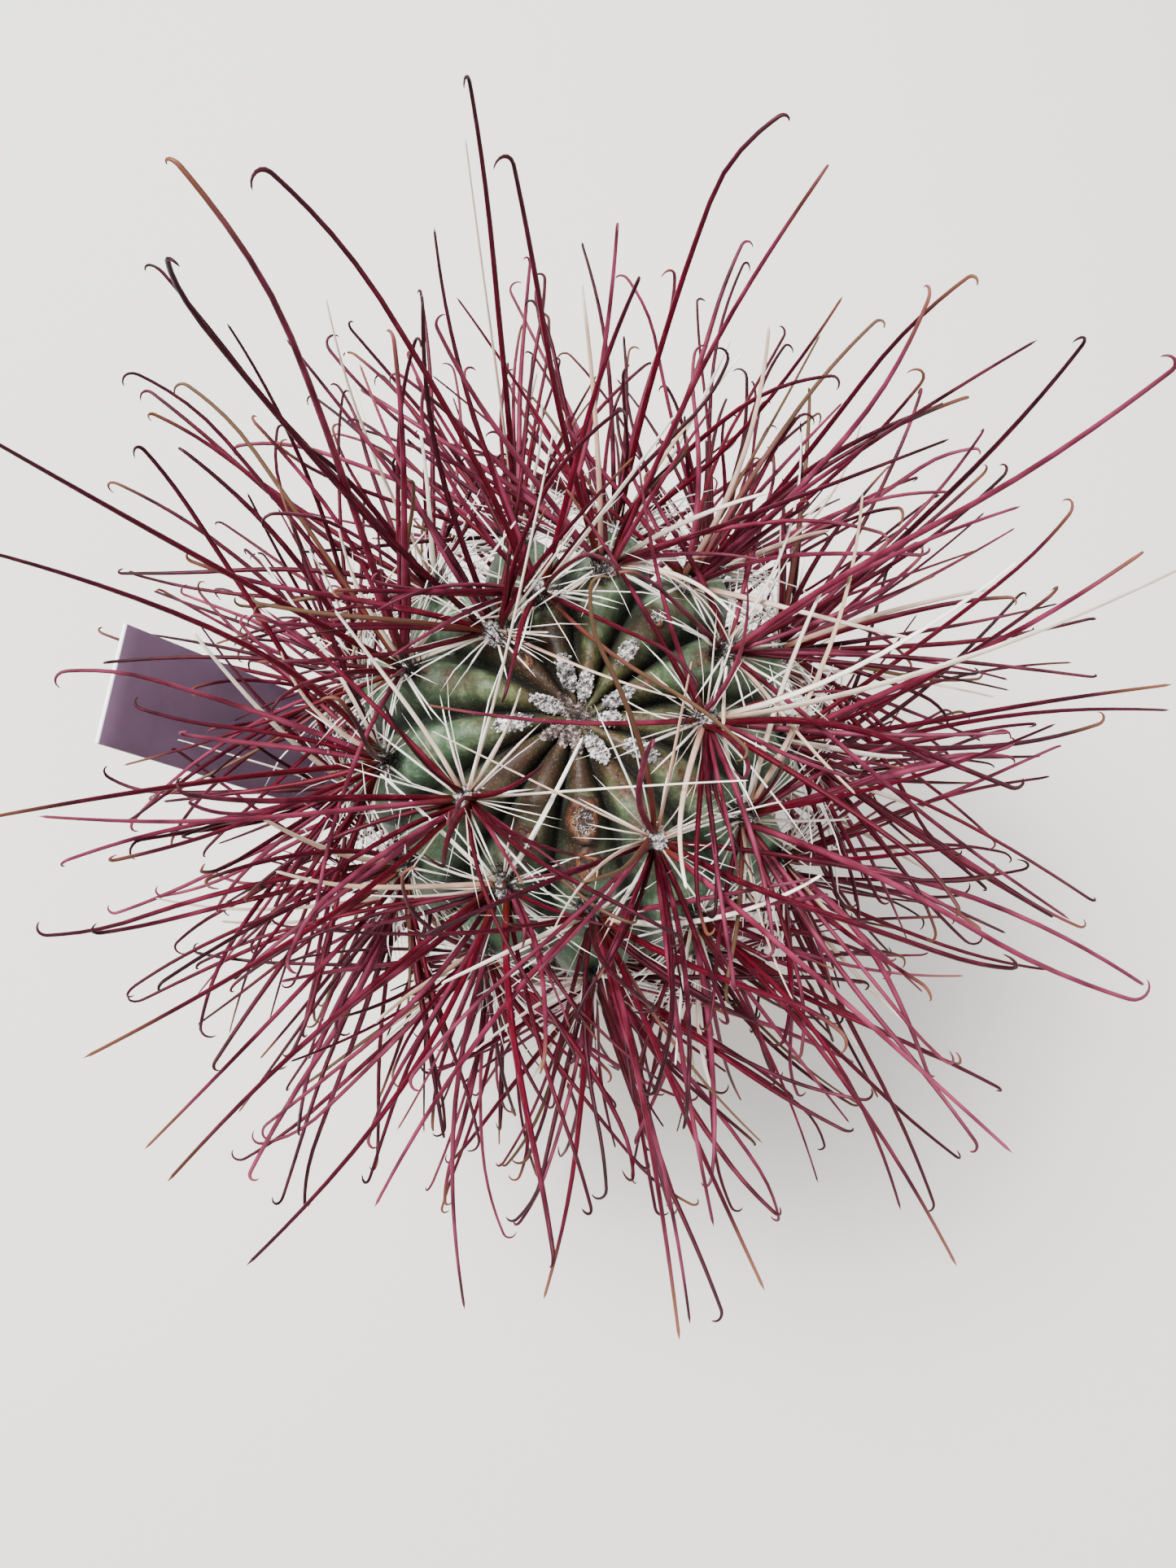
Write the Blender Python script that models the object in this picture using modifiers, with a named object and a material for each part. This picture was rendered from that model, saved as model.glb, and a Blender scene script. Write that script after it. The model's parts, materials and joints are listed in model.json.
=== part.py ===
"""A young barrel cactus in a round pot, with a plant label. Metres, +Z up, pot base on Z = 0.

The stem has ribs with areoles along their crests. Each areole is a pad of wool with a cluster of
spines: stout central ones, some of them hooked, and thin pale radial ones spread over the skin.
"""

import math
import random

import bmesh
import bpy
import numpy as np
from mathutils import Matrix, Vector

for old in list(bpy.data.objects):
    bpy.data.objects.remove(old, do_unlink=True)

mm = 0.001

# Pot and soil
potHeight = 78 * mm
potRimRadius = 44 * mm
potBaseRadius = 31 * mm
potWall = 1.9 * mm
rimBand = 11 * mm
rimLip = 1.6 * mm
potFloor = 2.4 * mm
turnSteps = 36
drainHoles = 5
drainRadius = 3.2 * mm
drainCircle = 19 * mm
soilLevel = 73.5 * mm
touchGap = 0.3 * mm

# Stem
stemCentre = Vector((0, 0, 114 * mm))
ribCount = 13
ribTurn = -3.0
crownTwist = -9.0
columnsPerRib = 6
stemRings = 19
chinDepth = 1.9 * mm
# Rib crest from the crown to the buried root: degrees from the plant's axis, then the distance
# from the stem's centre and the depth of the furrow beside the crest, both in millimetres
crestOutline = (
    (0, 31.5, 0.0),
    (7, 33.2, 1.2),
    (14, 36.2, 3.8),
    (24, 39.4, 6.0),
    (36, 41.5, 7.4),
    (60, 43.1, 8.3),
    (90, 43.6, 8.5),
    (112, 43.3, 7.8),
    (130, 43.8, 5.4),
    (146, 46.6, 2.6),
    (160, 50.0, 0.5),
    (180, 52.5, 0.0),
)

# Areoles: degrees from the plant's axis of each rib's first spiny one, and of its young woolly one
firstAreole = (31, 41, 46, 40, 33, 29, 47, 52, 34, 46, 50, 36, 49)
youngAreole = (8, 12, 20, 7, 12, 5, 9, 17, 9, 7, 8, 11, 19)
rowCount = 4
lowestAreole = 112.0
lowestShare = 0.5
padSize = Vector((2.6 * mm, 3.4 * mm, 1.8 * mm))
youngPadSize = Vector((1.35 * mm, 3.1 * mm, 1.3 * mm))
loneYoungAreole = 14
feltRadius = 4.8 * mm
feltHeight = 2.0 * mm

# Spines: millimetres across at the root and at the far end of the shaft, the range of length, and
# the range of lean off the areole's outward way in degrees
plantSeed = 23
spineKinds = {
    "hooked": {"wide": 1.2, "slim": 0.6, "long": (40, 62), "lean": (14, 52), "bow": 0.06},
    "central": {"wide": 1.1, "slim": 0.5, "long": (36, 56), "lean": (20, 58), "bow": 0.04},
    "pale": {"wide": 1.0, "slim": 0.55, "long": (26, 46), "lean": (30, 62), "bow": 0.06},
    "radial": {"wide": 0.6, "slim": 0.3, "long": (10, 19), "lean": (70, 84), "bow": 0.0},
}
centralOrder = ("hooked", "hooked", "central", "hooked", "pale")
radialCounts = (5, 5, 5, 4)
spineSides = 3
hookRadius = 1.0 * mm
hookTurn = 165.0
spineGap = 0.35 * mm
rootHeight = 0.95 * mm
rootSpread = 0.48

# Where the photograph was taken from, to aim the longest spines as they lie in it
eye = Vector((1.7 * mm, -47.4 * mm, stemCentre.z + 223 * mm))
eyePitch = 10.7
eyeFocal = 1448.0
eyeMiddle = (722.5, 963.5)
# How much longer an aimed spine is than the shortest one that would reach its sight line, by row
aimSlack = (1.13, 1.06, 1.03, 1.02)
longestSpine = 92 * mm
# The longest spines: rib, row, the pixel that the tip reaches, a pixel on the way, and the kind
longSpines = (
    (4, 1, (577, 101), (609, 379), "hooked"),
    (4, 1, (571, 165), (600, 380), "pale"),
    (3, 0, (631, 202), (663, 409), "hooked"),
    (6, 0, (222, 205), (347, 439), "hooked"),
    (4, 0, (333, 212), (483, 411), "hooked"),
    (5, 1, (200, 335), (321, 490), "hooked"),
    (5, 0, (206, 320), (310, 468), "hooked"),
    (6, 0, (484, 418), (492, 600), "hooked"),
    (3, 0, (537, 403), (620, 535), "hooked"),
    (4, 1, (347, 552), (480, 612), "hooked"),
    (6, 1, (228, 556), (330, 650), "hooked"),
    (7, 1, (177, 553), (265, 674), "hooked"),
    (6, 0, (-30, 530), (250, 688), "central"),
    (7, 0, (-20, 677), (210, 748), "central"),
    (5, 1, (400, 364), (460, 560), "pale"),
    (6, 1, (278, 396), (350, 520), "central"),
    (3, 1, (957, 143), (844, 368), "hooked"),
    (3, 0, (1003, 224), (897, 395), "hooked"),
    (2, 1, (1189, 341), (1060, 487), "hooked"),
    (2, 0, (1140, 370), (1040, 525), "hooked"),
    (3, 1, (1036, 363), (930, 510), "central"),
    (2, 0, (1276, 417), (1090, 530), "central"),
    (1, 1, (1330, 424), (1200, 565), "hooked"),
    (1, 0, (1440, 455), (1196, 604), "hooked"),
    (0, 1, (1392, 687), (1196, 800), "hooked"),
    (0, 0, (1470, 688), (1200, 803), "pale"),
    (1, 0, (1255, 622), (1100, 682), "central"),
    (3, 0, (1168, 539), (951, 622), "central"),
    (3, 1, (829, 340), (795, 457), "hooked"),
    (4, 0, (784, 345), (740, 460), "hooked"),
    (7, 0, (-20, 1006), (230, 964), "central"),
    (7, 1, (85, 1056), (258, 1012), "hooked"),
    (8, 0, (46, 1003), (300, 1005), "central"),
    (8, 0, (101, 1301), (316, 1184), "central"),
    (8, 1, (177, 1413), (344, 1242), "central"),
    (9, 0, (205, 1453), (402, 1259), "central"),
    (9, 0, (302, 1556), (488, 1345), "central"),
    (10, 0, (460, 1484), (545, 1339), "central"),
    (9, 1, (455, 1446), (500, 1310), "hooked"),
    (9, 1, (571, 1610), (556, 1414), "central"),
    (10, 1, (668, 1597), (702, 1440), "central"),
    (9, 0, (679, 1535), (640, 1350), "hooked"),
    (10, 0, (835, 1648), (792, 1363), "central"),
    (10, 1, (848, 1628), (800, 1380), "central"),
    (10, 0, (940, 1587), (832, 1345), "central"),
    (11, 1, (1176, 1557), (993, 1271), "central"),
    (11, 0, (1245, 1418), (1030, 1224), "central"),
    (1, 0, (1316, 1131), (1102, 972), "central"),
    (12, 0, (1388, 1228), (1188, 1121), "hooked"),
    (12, 1, (1397, 1205), (1188, 1100), "hooked"),
    (11, 0, (1243, 1190), (1016, 1121), "hooked"),
    (12, 1, (1138, 1314), (1050, 1140), "hooked"),
    (12, 0, (1298, 889), (1102, 961), "central"),
    (0, 1, (1441, 841), (1200, 878), "central"),
    (0, 2, (1438, 873), (1240, 880), "central"),
    (0, 0, (1243, 968), (1073, 898), "hooked"),
    (10, 1, (1035, 1388), (889, 1294), "hooked"),
    (11, 1, (1107, 1488), (1030, 1310), "central"),
    (11, 0, (877, 1508), (838, 1294), "central"),
    (10, 0, (1033, 1268), (880, 1205), "hooked"),
    (9, 1, (778, 1445), (717, 1305), "hooked"),
)

# Plant label: where its outer end's middle lies, its slope and bearing, and how it is bent upright
labelWidth = 21.5 * mm
labelThickness = 0.8 * mm
labelEnd = stemCentre + Vector((-80.2, 7.2, 27.5)) * mm
labelBearing = 171.0
labelSlope = 56.6
labelAbove = 81 * mm
labelBelow = 27 * mm
labelRows = 6
labelBend = 24.0
labelPoint = 0.3


def newCollection(name, parent):
    collection = bpy.data.collections.new(name)
    parent.children.link(collection)
    return collection


plant = newCollection("potted_barrel_cactus", bpy.context.scene.collection)
cutters = newCollection("cutters", bpy.context.scene.collection)
base = bpy.data.objects.new("potted_barrel_cactus_base", None)
plant.objects.link(base)


def paint(name, colour, roughness, metallic=0.0):
    """A plain surface. The colour is an sRGB hex value."""
    made = bpy.data.materials.new(name)
    made.use_nodes = True
    shader = made.node_tree.nodes["Principled BSDF"]
    parts = [int(colour[i : i + 2], 16) / 255 for i in (0, 2, 4)]
    linear = [c / 12.92 if c <= 0.04045 else ((c + 0.055) / 1.055) ** 2.4 for c in parts]
    shader.inputs["Base Color"].default_value = (*linear, 1)
    shader.inputs["Roughness"].default_value = roughness
    shader.inputs["Metallic"].default_value = metallic
    return made


potPaint = paint("terracotta_plastic", "8A4A33", 0.7)
soilPaint = paint("gritty_soil", "6B5A49", 0.95)
stemPaint = paint("glaucous_skin", "5F7A4E", 0.55)
spinePaint = paint("crimson_spine", "7A1830", 0.4)
woolPaint = paint("grey_wool", "BDB6AE", 0.95)
labelPaint = paint("lilac_plastic", "8E7A93", 0.4)


def finished(mesh, name, material, place=Vector(), collection=plant):
    """An object of that mesh, whose points are in world space, with its origin at that place."""
    mesh.transform(Matrix.Translation(-place))
    mesh.materials.clear()
    mesh.materials.append(material)
    mesh.shade_smooth()
    mesh.set_sharp_from_angle(angle=math.radians(38))
    piece = bpy.data.objects.new(name, mesh)
    piece.location = place
    piece.parent = base
    collection.objects.link(piece)
    return piece


def asCutter(piece):
    plant.objects.unlink(piece)
    cutters.objects.link(piece)
    piece.hide_render = True
    piece.display_type = "WIRE"
    return piece


def meshOf(bm, name):
    mesh = bpy.data.meshes.new(name)
    bm.to_mesh(mesh)
    bm.free()
    return mesh


def cut(piece, cutter):
    boolean = piece.modifiers.new("cut", "BOOLEAN")
    boolean.operation = "DIFFERENCE"
    boolean.solver = "EXACT"
    boolean.object = cutter


def turned(name, profile, material):
    """A solid of revolution about Z from (radius, height) points that end on the axis."""
    mesh = bpy.data.meshes.new(name)
    points = [(radius, 0, height) for radius, height in profile]
    mesh.from_pydata(points, [(i, i + 1) for i in range(len(points) - 1)], [])
    piece = bpy.data.objects.new(name, mesh)
    mesh.materials.append(material)
    piece.parent = base
    plant.objects.link(piece)
    screw = piece.modifiers.new("turn", "SCREW")
    screw.steps = turnSteps
    screw.render_steps = turnSteps
    screw.use_merge_vertices = True
    screw.merge_threshold = 0.00001
    screw.use_smooth_shade = True
    return piece


# The stem's surface


def alongOutline(column, polar):
    """A smooth curve through one column of the crest's outline, at angles in degrees."""
    knots = np.array([row[0] for row in crestOutline], float)
    values = np.array([row[column] for row in crestOutline], float)
    slopes = np.gradient(values, knots)
    i = np.clip(np.searchsorted(knots, polar, side="right") - 1, 0, len(knots) - 2)
    span = knots[i + 1] - knots[i]
    t = (polar - knots[i]) / span
    rise = (2 * t**3 - 3 * t**2 + 1) * values[i] + (3 * t**2 - 2 * t**3) * values[i + 1]
    lean = (t**3 - 2 * t**2 + t) * slopes[i] + (t**3 - t**2) * slopes[i + 1]
    return (rise + span * lean) * mm


def ribAzimuth(rib, polar):
    return rib * 360 / ribCount + ribTurn + crownTwist * np.exp(-polar / 10.0)


def areoleStep(rib):
    """Degrees from one spiny areole of a rib to the next below it."""
    first = np.array(firstAreole, float)[rib]
    last = lowestAreole + lowestShare * (first - min(firstAreole))
    return (last - first) / (rowCount - 1)


def stemReach(polar, azimuth):
    """Distance from the stem's centre to its skin, with angles in degrees."""
    turn = (azimuth - ribAzimuth(0, polar)) * ribCount / 360
    rib = np.round(turn).astype(int)
    aside = np.abs(2 * (turn - rib)) ** 2.3
    first = np.array(firstAreole, float)[rib % ribCount]
    phase = 2 * np.pi * (polar - first) / areoleStep(rib % ribCount)
    fade = np.clip((polar - 10) / 14, 0, 1) * np.clip((142 - polar) / 16, 0, 1)
    chin = chinDepth * fade * 0.5 * (1 - np.cos(phase)) * (1 - aside)
    return alongOutline(1, polar) - alongOutline(2, polar) * aside - chin


def skinPoint(polar, azimuth, above=0.0):
    """The point on the stem's skin in that direction from its centre."""
    reach = stemReach(np.float64(polar), np.float64(azimuth)) + above
    flat = math.sin(math.radians(polar))
    ahead = math.radians(azimuth)
    way = Vector((flat * math.cos(ahead), flat * math.sin(ahead), math.cos(math.radians(polar))))
    return stemCentre + way * reach


def aboveSkin(points):
    """How far each of many points stands off the skin, measured from the stem's centre."""
    away = points - np.array(stemCentre)
    reach = np.linalg.norm(away, axis=1)
    polar = np.degrees(np.arccos(np.clip(away[:, 2] / reach, -1, 1)))
    azimuth = np.degrees(np.arctan2(away[:, 1], away[:, 0]))
    return reach - stemReach(polar, azimuth)


def crestSpot(rib, polar):
    return skinPoint(polar, ribAzimuth(rib, polar))


def crestFrame(rib, polar):
    """A place on a rib's crest: the point, the ways up and across the rib, and the way out."""
    spot = crestSpot(rib, polar)
    up = (crestSpot(rib, polar - 2) - crestSpot(rib, polar + 2)).normalized()
    across = up.cross(spot - stemCentre).normalized()
    return {"spot": spot, "up": up, "across": across, "out": across.cross(up)}


def areoleFrame(rib, row):
    return crestFrame(rib, firstAreole[rib] + row * areoleStep(rib))


# The spines' rule


def shaftPoint(spine, t):
    return spine["root"].lerp(spine["tip"], t) + spine["bow"] * (4 * t * (1 - t))


def spineCourse(spine):
    """Points along a spine's middle, and its half width at each of them."""
    shaftSteps = 1 if spine["kind"] == "radial" else 2
    hookSteps = 2
    centres = [shaftPoint(spine, i / shaftSteps) for i in range(shaftSteps + 1)]
    half = [spine["wide"] + (spine["slim"] - spine["wide"]) * i / shaftSteps for i in range(shaftSteps + 1)]
    if spine["kind"] == "hooked":
        ahead = (spine["tip"] - spine["root"] - spine["bow"] * 4).normalized()
        aside = (spine["curl"] - ahead * spine["curl"].dot(ahead)).normalized()
        for i in range(1, hookSteps + 1):
            turn = math.radians(hookTurn) * i / hookSteps
            swing = ahead * math.sin(turn) + aside * (1 - math.cos(turn))
            centres.append(spine["tip"] + swing * hookRadius)
            half.append(spine["slim"] * (1 - i / hookSteps))
    half[-1] = 0.0
    return centres, [h / 2 for h in half]


def piecesApart(start, end, starts, ends):
    """Shortest distance from one straight piece to each of many others."""
    along = end - start
    others = ends - starts
    between = start - starts
    a = along @ along
    e = (others**2).sum(1)
    f = (others * between).sum(1)
    b = others @ along
    c = between @ along
    room = np.maximum(a * e - b * b, 1e-18)
    s = np.clip((b * f - c * e) / room, 0, 1)
    t = np.clip((b * s + f) / e, 0, 1)
    s = np.clip((b * t - c) / a, 0, 1)
    return np.linalg.norm(between + np.outer(s, along) - others * t[:, None], axis=1)


class Taken:
    """The room that is taken: straight pieces with a half width and an owner."""

    def __init__(self):
        self.starts = np.zeros((0, 3))
        self.ends = np.zeros((0, 3))
        self.half = np.zeros(0)
        self.owner = np.zeros(0, int)

    def add(self, centres, half, owner):
        points = np.array([tuple(c) for c in centres])
        self.starts = np.vstack([self.starts, points[:-1]])
        self.ends = np.vstack([self.ends, points[1:]])
        self.half = np.append(self.half, np.maximum(half[:-1], half[1:]))
        self.owner = np.append(self.owner, np.full(len(points) - 1, owner))

    def clear(self, centres, half, owner):
        points = np.array([tuple(c) for c in centres])
        other = self.owner != owner
        for i in range(len(points) - 1):
            apart = piecesApart(points[i], points[i + 1], self.starts[other], self.ends[other])
            if (apart < self.half[other] + half[i] + spineGap).any():
                return False
        return clearOfRest(points, half)


def alongCourse(points, half, spacing=1.2 * mm):
    """Points close together along a course, with the half width at each."""
    found = []
    wide = []
    for i in range(len(points) - 1):
        steps = max(2, int(np.linalg.norm(points[i + 1] - points[i]) / spacing))
        for k in range(steps):
            found.append(points[i] + (points[i + 1] - points[i]) * k / steps)
            wide.append(half[i])
    found.append(points[-1])
    wide.append(half[-1])
    return np.array(found), np.array(wide)


def labelPlaces(points):
    """Points as distances along, across and out of the label's straight part, from its outer end."""
    bearing = math.radians(labelBearing)
    slope = math.radians(labelSlope)
    flat = np.array([math.cos(bearing), math.sin(bearing), 0])
    inward = -flat * math.cos(slope) - np.array([0, 0, math.sin(slope)])
    across = np.array([-flat[1], flat[0], 0])
    away = points - np.array(labelEnd)
    return away @ inward, away @ across, away @ np.cross(inward, across)


def clearOfRest(points, half):
    """True if a course stays off the skin, the pot, the ground and the label."""
    found, wide = alongCourse(points, half)
    leaving = np.linalg.norm(found - points[0], axis=1) > padSize.x
    if (aboveSkin(found) < wide * 1.2 + touchGap / 3 + spineGap * leaving).any():
        return False
    across = np.hypot(found[:, 0], found[:, 1])
    if ((across < potRimRadius + wide + 2 * spineGap) & (found[:, 2] < potHeight + wide + 2 * spineGap)).any():
        return False
    if (found[:, 2] < wide + 4 * mm).any():
        return False
    along, aside, out = labelPlaces(found)
    near = (along > -wide - spineGap) & (along < labelAbove) & (np.abs(aside) < labelWidth / 2 + wide + spineGap)
    return not (near & (np.abs(out) < labelThickness / 2 + wide + spineGap)).any()


def sightLine(pixel):
    """The way from the photograph's viewpoint through one of its pixels."""
    pitch = math.radians(eyePitch)
    back = Vector((0, -math.sin(pitch), math.cos(pitch)))
    up = back.cross(Vector((1, 0, 0)))
    sideways = (pixel[0] - eyeMiddle[0]) / eyeFocal
    upward = (eyeMiddle[1] - pixel[1]) / eyeFocal
    return (Vector((sideways, 0, 0)) + up * upward - back).normalized()


def aimedCourse(root, tipPixel, wayPixel, slack):
    """The tip and bow of a spine from that root that seems to pass one pixel and end at another."""
    way = sightLine(tipPixel)
    nearest = eye + way * (root - eye).dot(way)
    shortest = (nearest - root).length
    length = max(shortest * 1.005, min(shortest * slack, longestSpine))
    tip = nearest - way * math.sqrt(length**2 - shortest**2)
    chord = tip - root
    ahead = sightLine(wayPixel)
    facing = chord.cross(ahead)
    t = (eye - root).cross(ahead).dot(facing) / facing.length_squared
    t = max(0.3, min(0.7, t))
    spot = root + chord * t
    offset = eye + ahead * (spot - eye).dot(ahead) - spot
    bow = offset / (4 * t * (1 - t))
    return tip, bow * min(1, 0.16 * length / bow.length)


def newSpine(frame, kind, around, draw, shorter=1.0, aim=None):
    """One spine of an areole. around is the bearing about the areole in degrees, 0 up the rib."""
    made = spineKinds[kind]
    lean = math.radians(draw.uniform(*made["lean"]))
    length = draw.uniform(*made["long"]) * mm * shorter
    turn = math.radians(around)
    if aim:
        toward = aimedCourse(frame["spot"], *aim)[0] - frame["spot"]
        turn = math.atan2(toward.dot(frame["across"]), toward.dot(frame["up"]))
    aside = frame["up"] * math.cos(turn) + frame["across"] * math.sin(turn)
    way = frame["out"] * math.cos(lean) + aside * math.sin(lean)
    offset = frame["up"] * (math.cos(turn) * padSize.y) + frame["across"] * (math.sin(turn) * padSize.x)
    root = frame["spot"] + frame["out"] * rootHeight + offset * rootSpread
    bend = Vector([draw.gauss(0, 1) for _ in range(3)])
    curl = Vector([draw.gauss(0, 1) for _ in range(3)])
    if aim:
        tip, bow = aimedCourse(root, *aim)
    else:
        tip = root + way * length
        bow = (bend - way * bend.dot(way)).normalized() * (length * draw.uniform(0.3, 1) * made["bow"])
    wide, slim = made["wide"] * mm, made["slim"] * mm
    return {"root": root, "tip": tip, "bow": bow, "curl": curl, "wide": wide, "slim": slim, "kind": kind}


def planSpines():
    """All the spines, by areole. Each is drawn again until it is clear of everything else."""
    draw = random.Random(plantSeed)
    areoles = [(rib, row) for row in range(rowCount) for rib in range(ribCount)]
    frames = {areole: areoleFrame(*areole) for areole in areoles}
    plan = {areole: [] for areole in areoles}
    taken = Taken()
    for number, areole in enumerate(areoles):
        frame = frames[areole]
        middle = frame["spot"] + frame["out"] * (0.4 * mm)
        reach = frame["up"] * (padSize.y - padSize.x)
        taken.add([middle - reach, middle + reach], [padSize.x, padSize.x], number)
    felt = skinPoint(0, 0)
    taken.add([felt, felt + Vector((0, 0, mm))], [feltRadius, feltRadius], -1)

    def place(number, kind, around, tries, aim=None):
        areole = areoles[number]
        for attempt in range(tries):
            loose = 10 + 50 * attempt / tries
            bearing = around + draw.uniform(-loose, loose)
            shorter = 1 - 0.45 * attempt / tries
            course = (*aim, aimSlack[areole[1]] + draw.uniform(0, 0.003) * attempt) if aim else None
            spine = newSpine(frames[areole], kind, bearing, draw, shorter, course)
            centres, half = spineCourse(spine)
            if taken.clear(centres, half, number):
                taken.add(centres, half, number)
                plan[areole].append(spine)
                return

    for rib, row, tipPixel, wayPixel, kind in longSpines:
        place(areoles.index((rib, row)), kind, 0, 40, (tipPixel, wayPixel))
    aimed = {areole: len(spines) for areole, spines in plan.items()}
    for index, kind in enumerate(centralOrder):
        for number, areole in enumerate(areoles):
            if index >= aimed[areole]:
                spread = 55 if areole[1] == 0 else 72
                place(number, kind, 180 + spread * (index - 2), 40)
    for index in range(max(radialCounts)):
        for number, (rib, row) in enumerate(areoles):
            if index < radialCounts[row]:
                place(number, "radial", 360 / radialCounts[row] * (index + 0.5), 24)
    return plan, frames


# Building


def needle(spine, name, collection):
    """A three-sided spine that narrows to a point, with its root end closed."""
    centres, half = spineCourse(spine)
    bm = bmesh.new()
    bmesh.ops.create_circle(bm, cap_ends=True, segments=spineSides, radius=1)
    ring = list(bm.edges)
    last = None
    for i, centre in enumerate(centres):
        before = centres[max(i - 1, 0)]
        after = centres[min(i + 1, len(centres) - 1)]
        ahead = (after - before).normalized()
        aside = spine["curl"].cross(ahead).normalized()
        wide = max(half[i], 0.01 * mm) * 1.2
        place = Matrix((aside * wide, ahead.cross(aside) * wide, ahead * wide)).transposed().to_4x4()
        place.translation = centre
        if last is None:
            bmesh.ops.transform(bm, matrix=place, verts=bm.verts)
        else:
            made = bmesh.ops.extrude_edge_only(bm, edges=ring)["geom"]
            points = [piece for piece in made if isinstance(piece, bmesh.types.BMVert)]
            ring = [piece for piece in made if isinstance(piece, bmesh.types.BMEdge)]
            ring = [edge for edge in ring if edge.verts[0] in points and edge.verts[1] in points]
            bmesh.ops.transform(bm, matrix=place @ last.inverted(), verts=points)
        last = place
    bmesh.ops.pointmerge(bm, verts=points, merge_co=centres[-1])
    bmesh.ops.recalc_face_normals(bm, faces=bm.faces)
    if bm.calc_volume(signed=True) < 0:
        bmesh.ops.reverse_faces(bm, faces=bm.faces)
    return loose(bm, name, collection)


def loose(bm, name, collection):
    piece = bpy.data.objects.new(name, meshOf(bm, name))
    collection.objects.link(piece)
    return piece


def dome(stem, frame, size, segments, rings, name, collection):
    """A rounded pad of wool. Its underside follows the stem's faces, a touch gap above them."""
    bm = bmesh.new()
    bmesh.ops.create_uvsphere(bm, u_segments=segments, v_segments=rings, radius=1)
    for vertex in bm.verts:
        x, y, z = vertex.co
        level = frame["spot"] + frame["up"] * (x * size.y) - frame["across"] * (y * size.x)
        way = (level - stemCentre).normalized()
        height = 2.2 * touchGap + max(z, 0) * size.z
        vertex.co = stemCentre + stem.ray_cast(Vector(), way)[1] + way * height
    return loose(bm, name, collection)


def filled(mesh):
    """Keeps a mesh's outer shell, and drops what lies apart from it or is sealed inside."""
    bm = bmesh.new()
    bm.from_mesh(mesh)
    left = set(bm.verts)
    shells = []
    while left:
        edge = [left.pop()]
        shell = list(edge)
        while edge:
            for link in edge.pop().link_edges:
                for vertex in link.verts:
                    if vertex in left:
                        left.remove(vertex)
                        edge.append(vertex)
                        shell.append(vertex)
        shells.append(shell)
    shells.sort(key=len)
    for shell in shells[:-1]:
        bmesh.ops.delete(bm, geom=shell, context="VERTS")
    bm.to_mesh(mesh)
    bm.free()


def fused(first, others, name, material, place):
    """The first piece joined with a collection of others, as one solid."""
    if others.objects:
        union = first.modifiers.new("join", "BOOLEAN")
        union.operation = "UNION"
        union.solver = "MANIFOLD"
        union.operand_type = "COLLECTION"
        union.collection = others
    bpy.context.view_layer.update()
    graph = bpy.context.evaluated_depsgraph_get()
    mesh = bpy.data.meshes.new_from_object(first.evaluated_get(graph))
    for piece in [first, *others.objects]:
        bpy.data.objects.remove(piece, do_unlink=True)
    filled(mesh)
    mesh.name = name
    return finished(mesh, name, material, place)


def ringPolar(rib, ring):
    """Where a ring of the stem's points crosses a rib: three rings to each areole."""
    areoles = [firstAreole[rib] + row * areoleStep(rib) for row in range(rowCount)]
    rings = (0, 1, 2, *range(5, 5 + 3 * rowCount, 3), stemRings - 3, stemRings)
    return np.interp(ring, rings, (0, 4.5, 10, *areoles, 141, 180))


def makeStem():
    bm = bmesh.new()
    columns = ribCount * columnsPerRib
    bmesh.ops.create_uvsphere(bm, u_segments=columns, v_segments=stemRings, radius=1)
    for vertex in bm.verts:
        ring = math.acos(max(-1, min(1, vertex.co.z))) / math.pi * stemRings
        column = math.floor(math.atan2(vertex.co.y, vertex.co.x) / math.tau * columns)
        rib = round(column / columnsPerRib)
        aside = column / columnsPerRib - rib
        beside = ringPolar((rib + (1 if aside > 0 else -1)) % ribCount, ring)
        polar = ringPolar(rib % ribCount, ring) * (1 - abs(aside)) + beside * abs(aside)
        azimuth = column * 360 / columns + float(ribAzimuth(0, polar))
        vertex.co = skinPoint(polar, azimuth)
    return finished(meshOf(bm, "cactus_stem"), "cactus_stem", stemPaint, stemCentre)


def makePot():
    rimInside = potRimRadius - rimLip
    profile = (
        (0, potFloor),
        (potBaseRadius - potWall, potFloor),
        (rimInside - 0.5 * mm, potHeight - 0.8 * mm),
        (rimInside, potHeight),
        (potRimRadius - 0.6 * mm, potHeight),
        (potRimRadius, potHeight - 0.7 * mm),
        (potRimRadius - 0.4 * mm, potHeight - rimBand),
        (potRimRadius - 2.2 * mm, potHeight - rimBand - 0.8 * mm),
        (potBaseRadius + 0.4 * mm, 0.9 * mm),
        (potBaseRadius - 0.5 * mm, 0),
        (0, 0),
    )
    pot = turned("pot", profile, potPaint)
    bm = bmesh.new()
    for hole in range(drainHoles):
        turn = Matrix.Rotation(2 * math.pi * hole / drainHoles, 4, "Z")
        place = turn @ Matrix.Translation((drainCircle, 0, potFloor / 2))
        bmesh.ops.create_cone(
            bm,
            cap_ends=True,
            segments=8,
            radius1=drainRadius,
            radius2=drainRadius,
            depth=4 * potFloor,
            matrix=place,
        )
    cut(pot, asCutter(finished(meshOf(bm, "drain_holes"), "drain_holes", potPaint)))
    return pot


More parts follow.
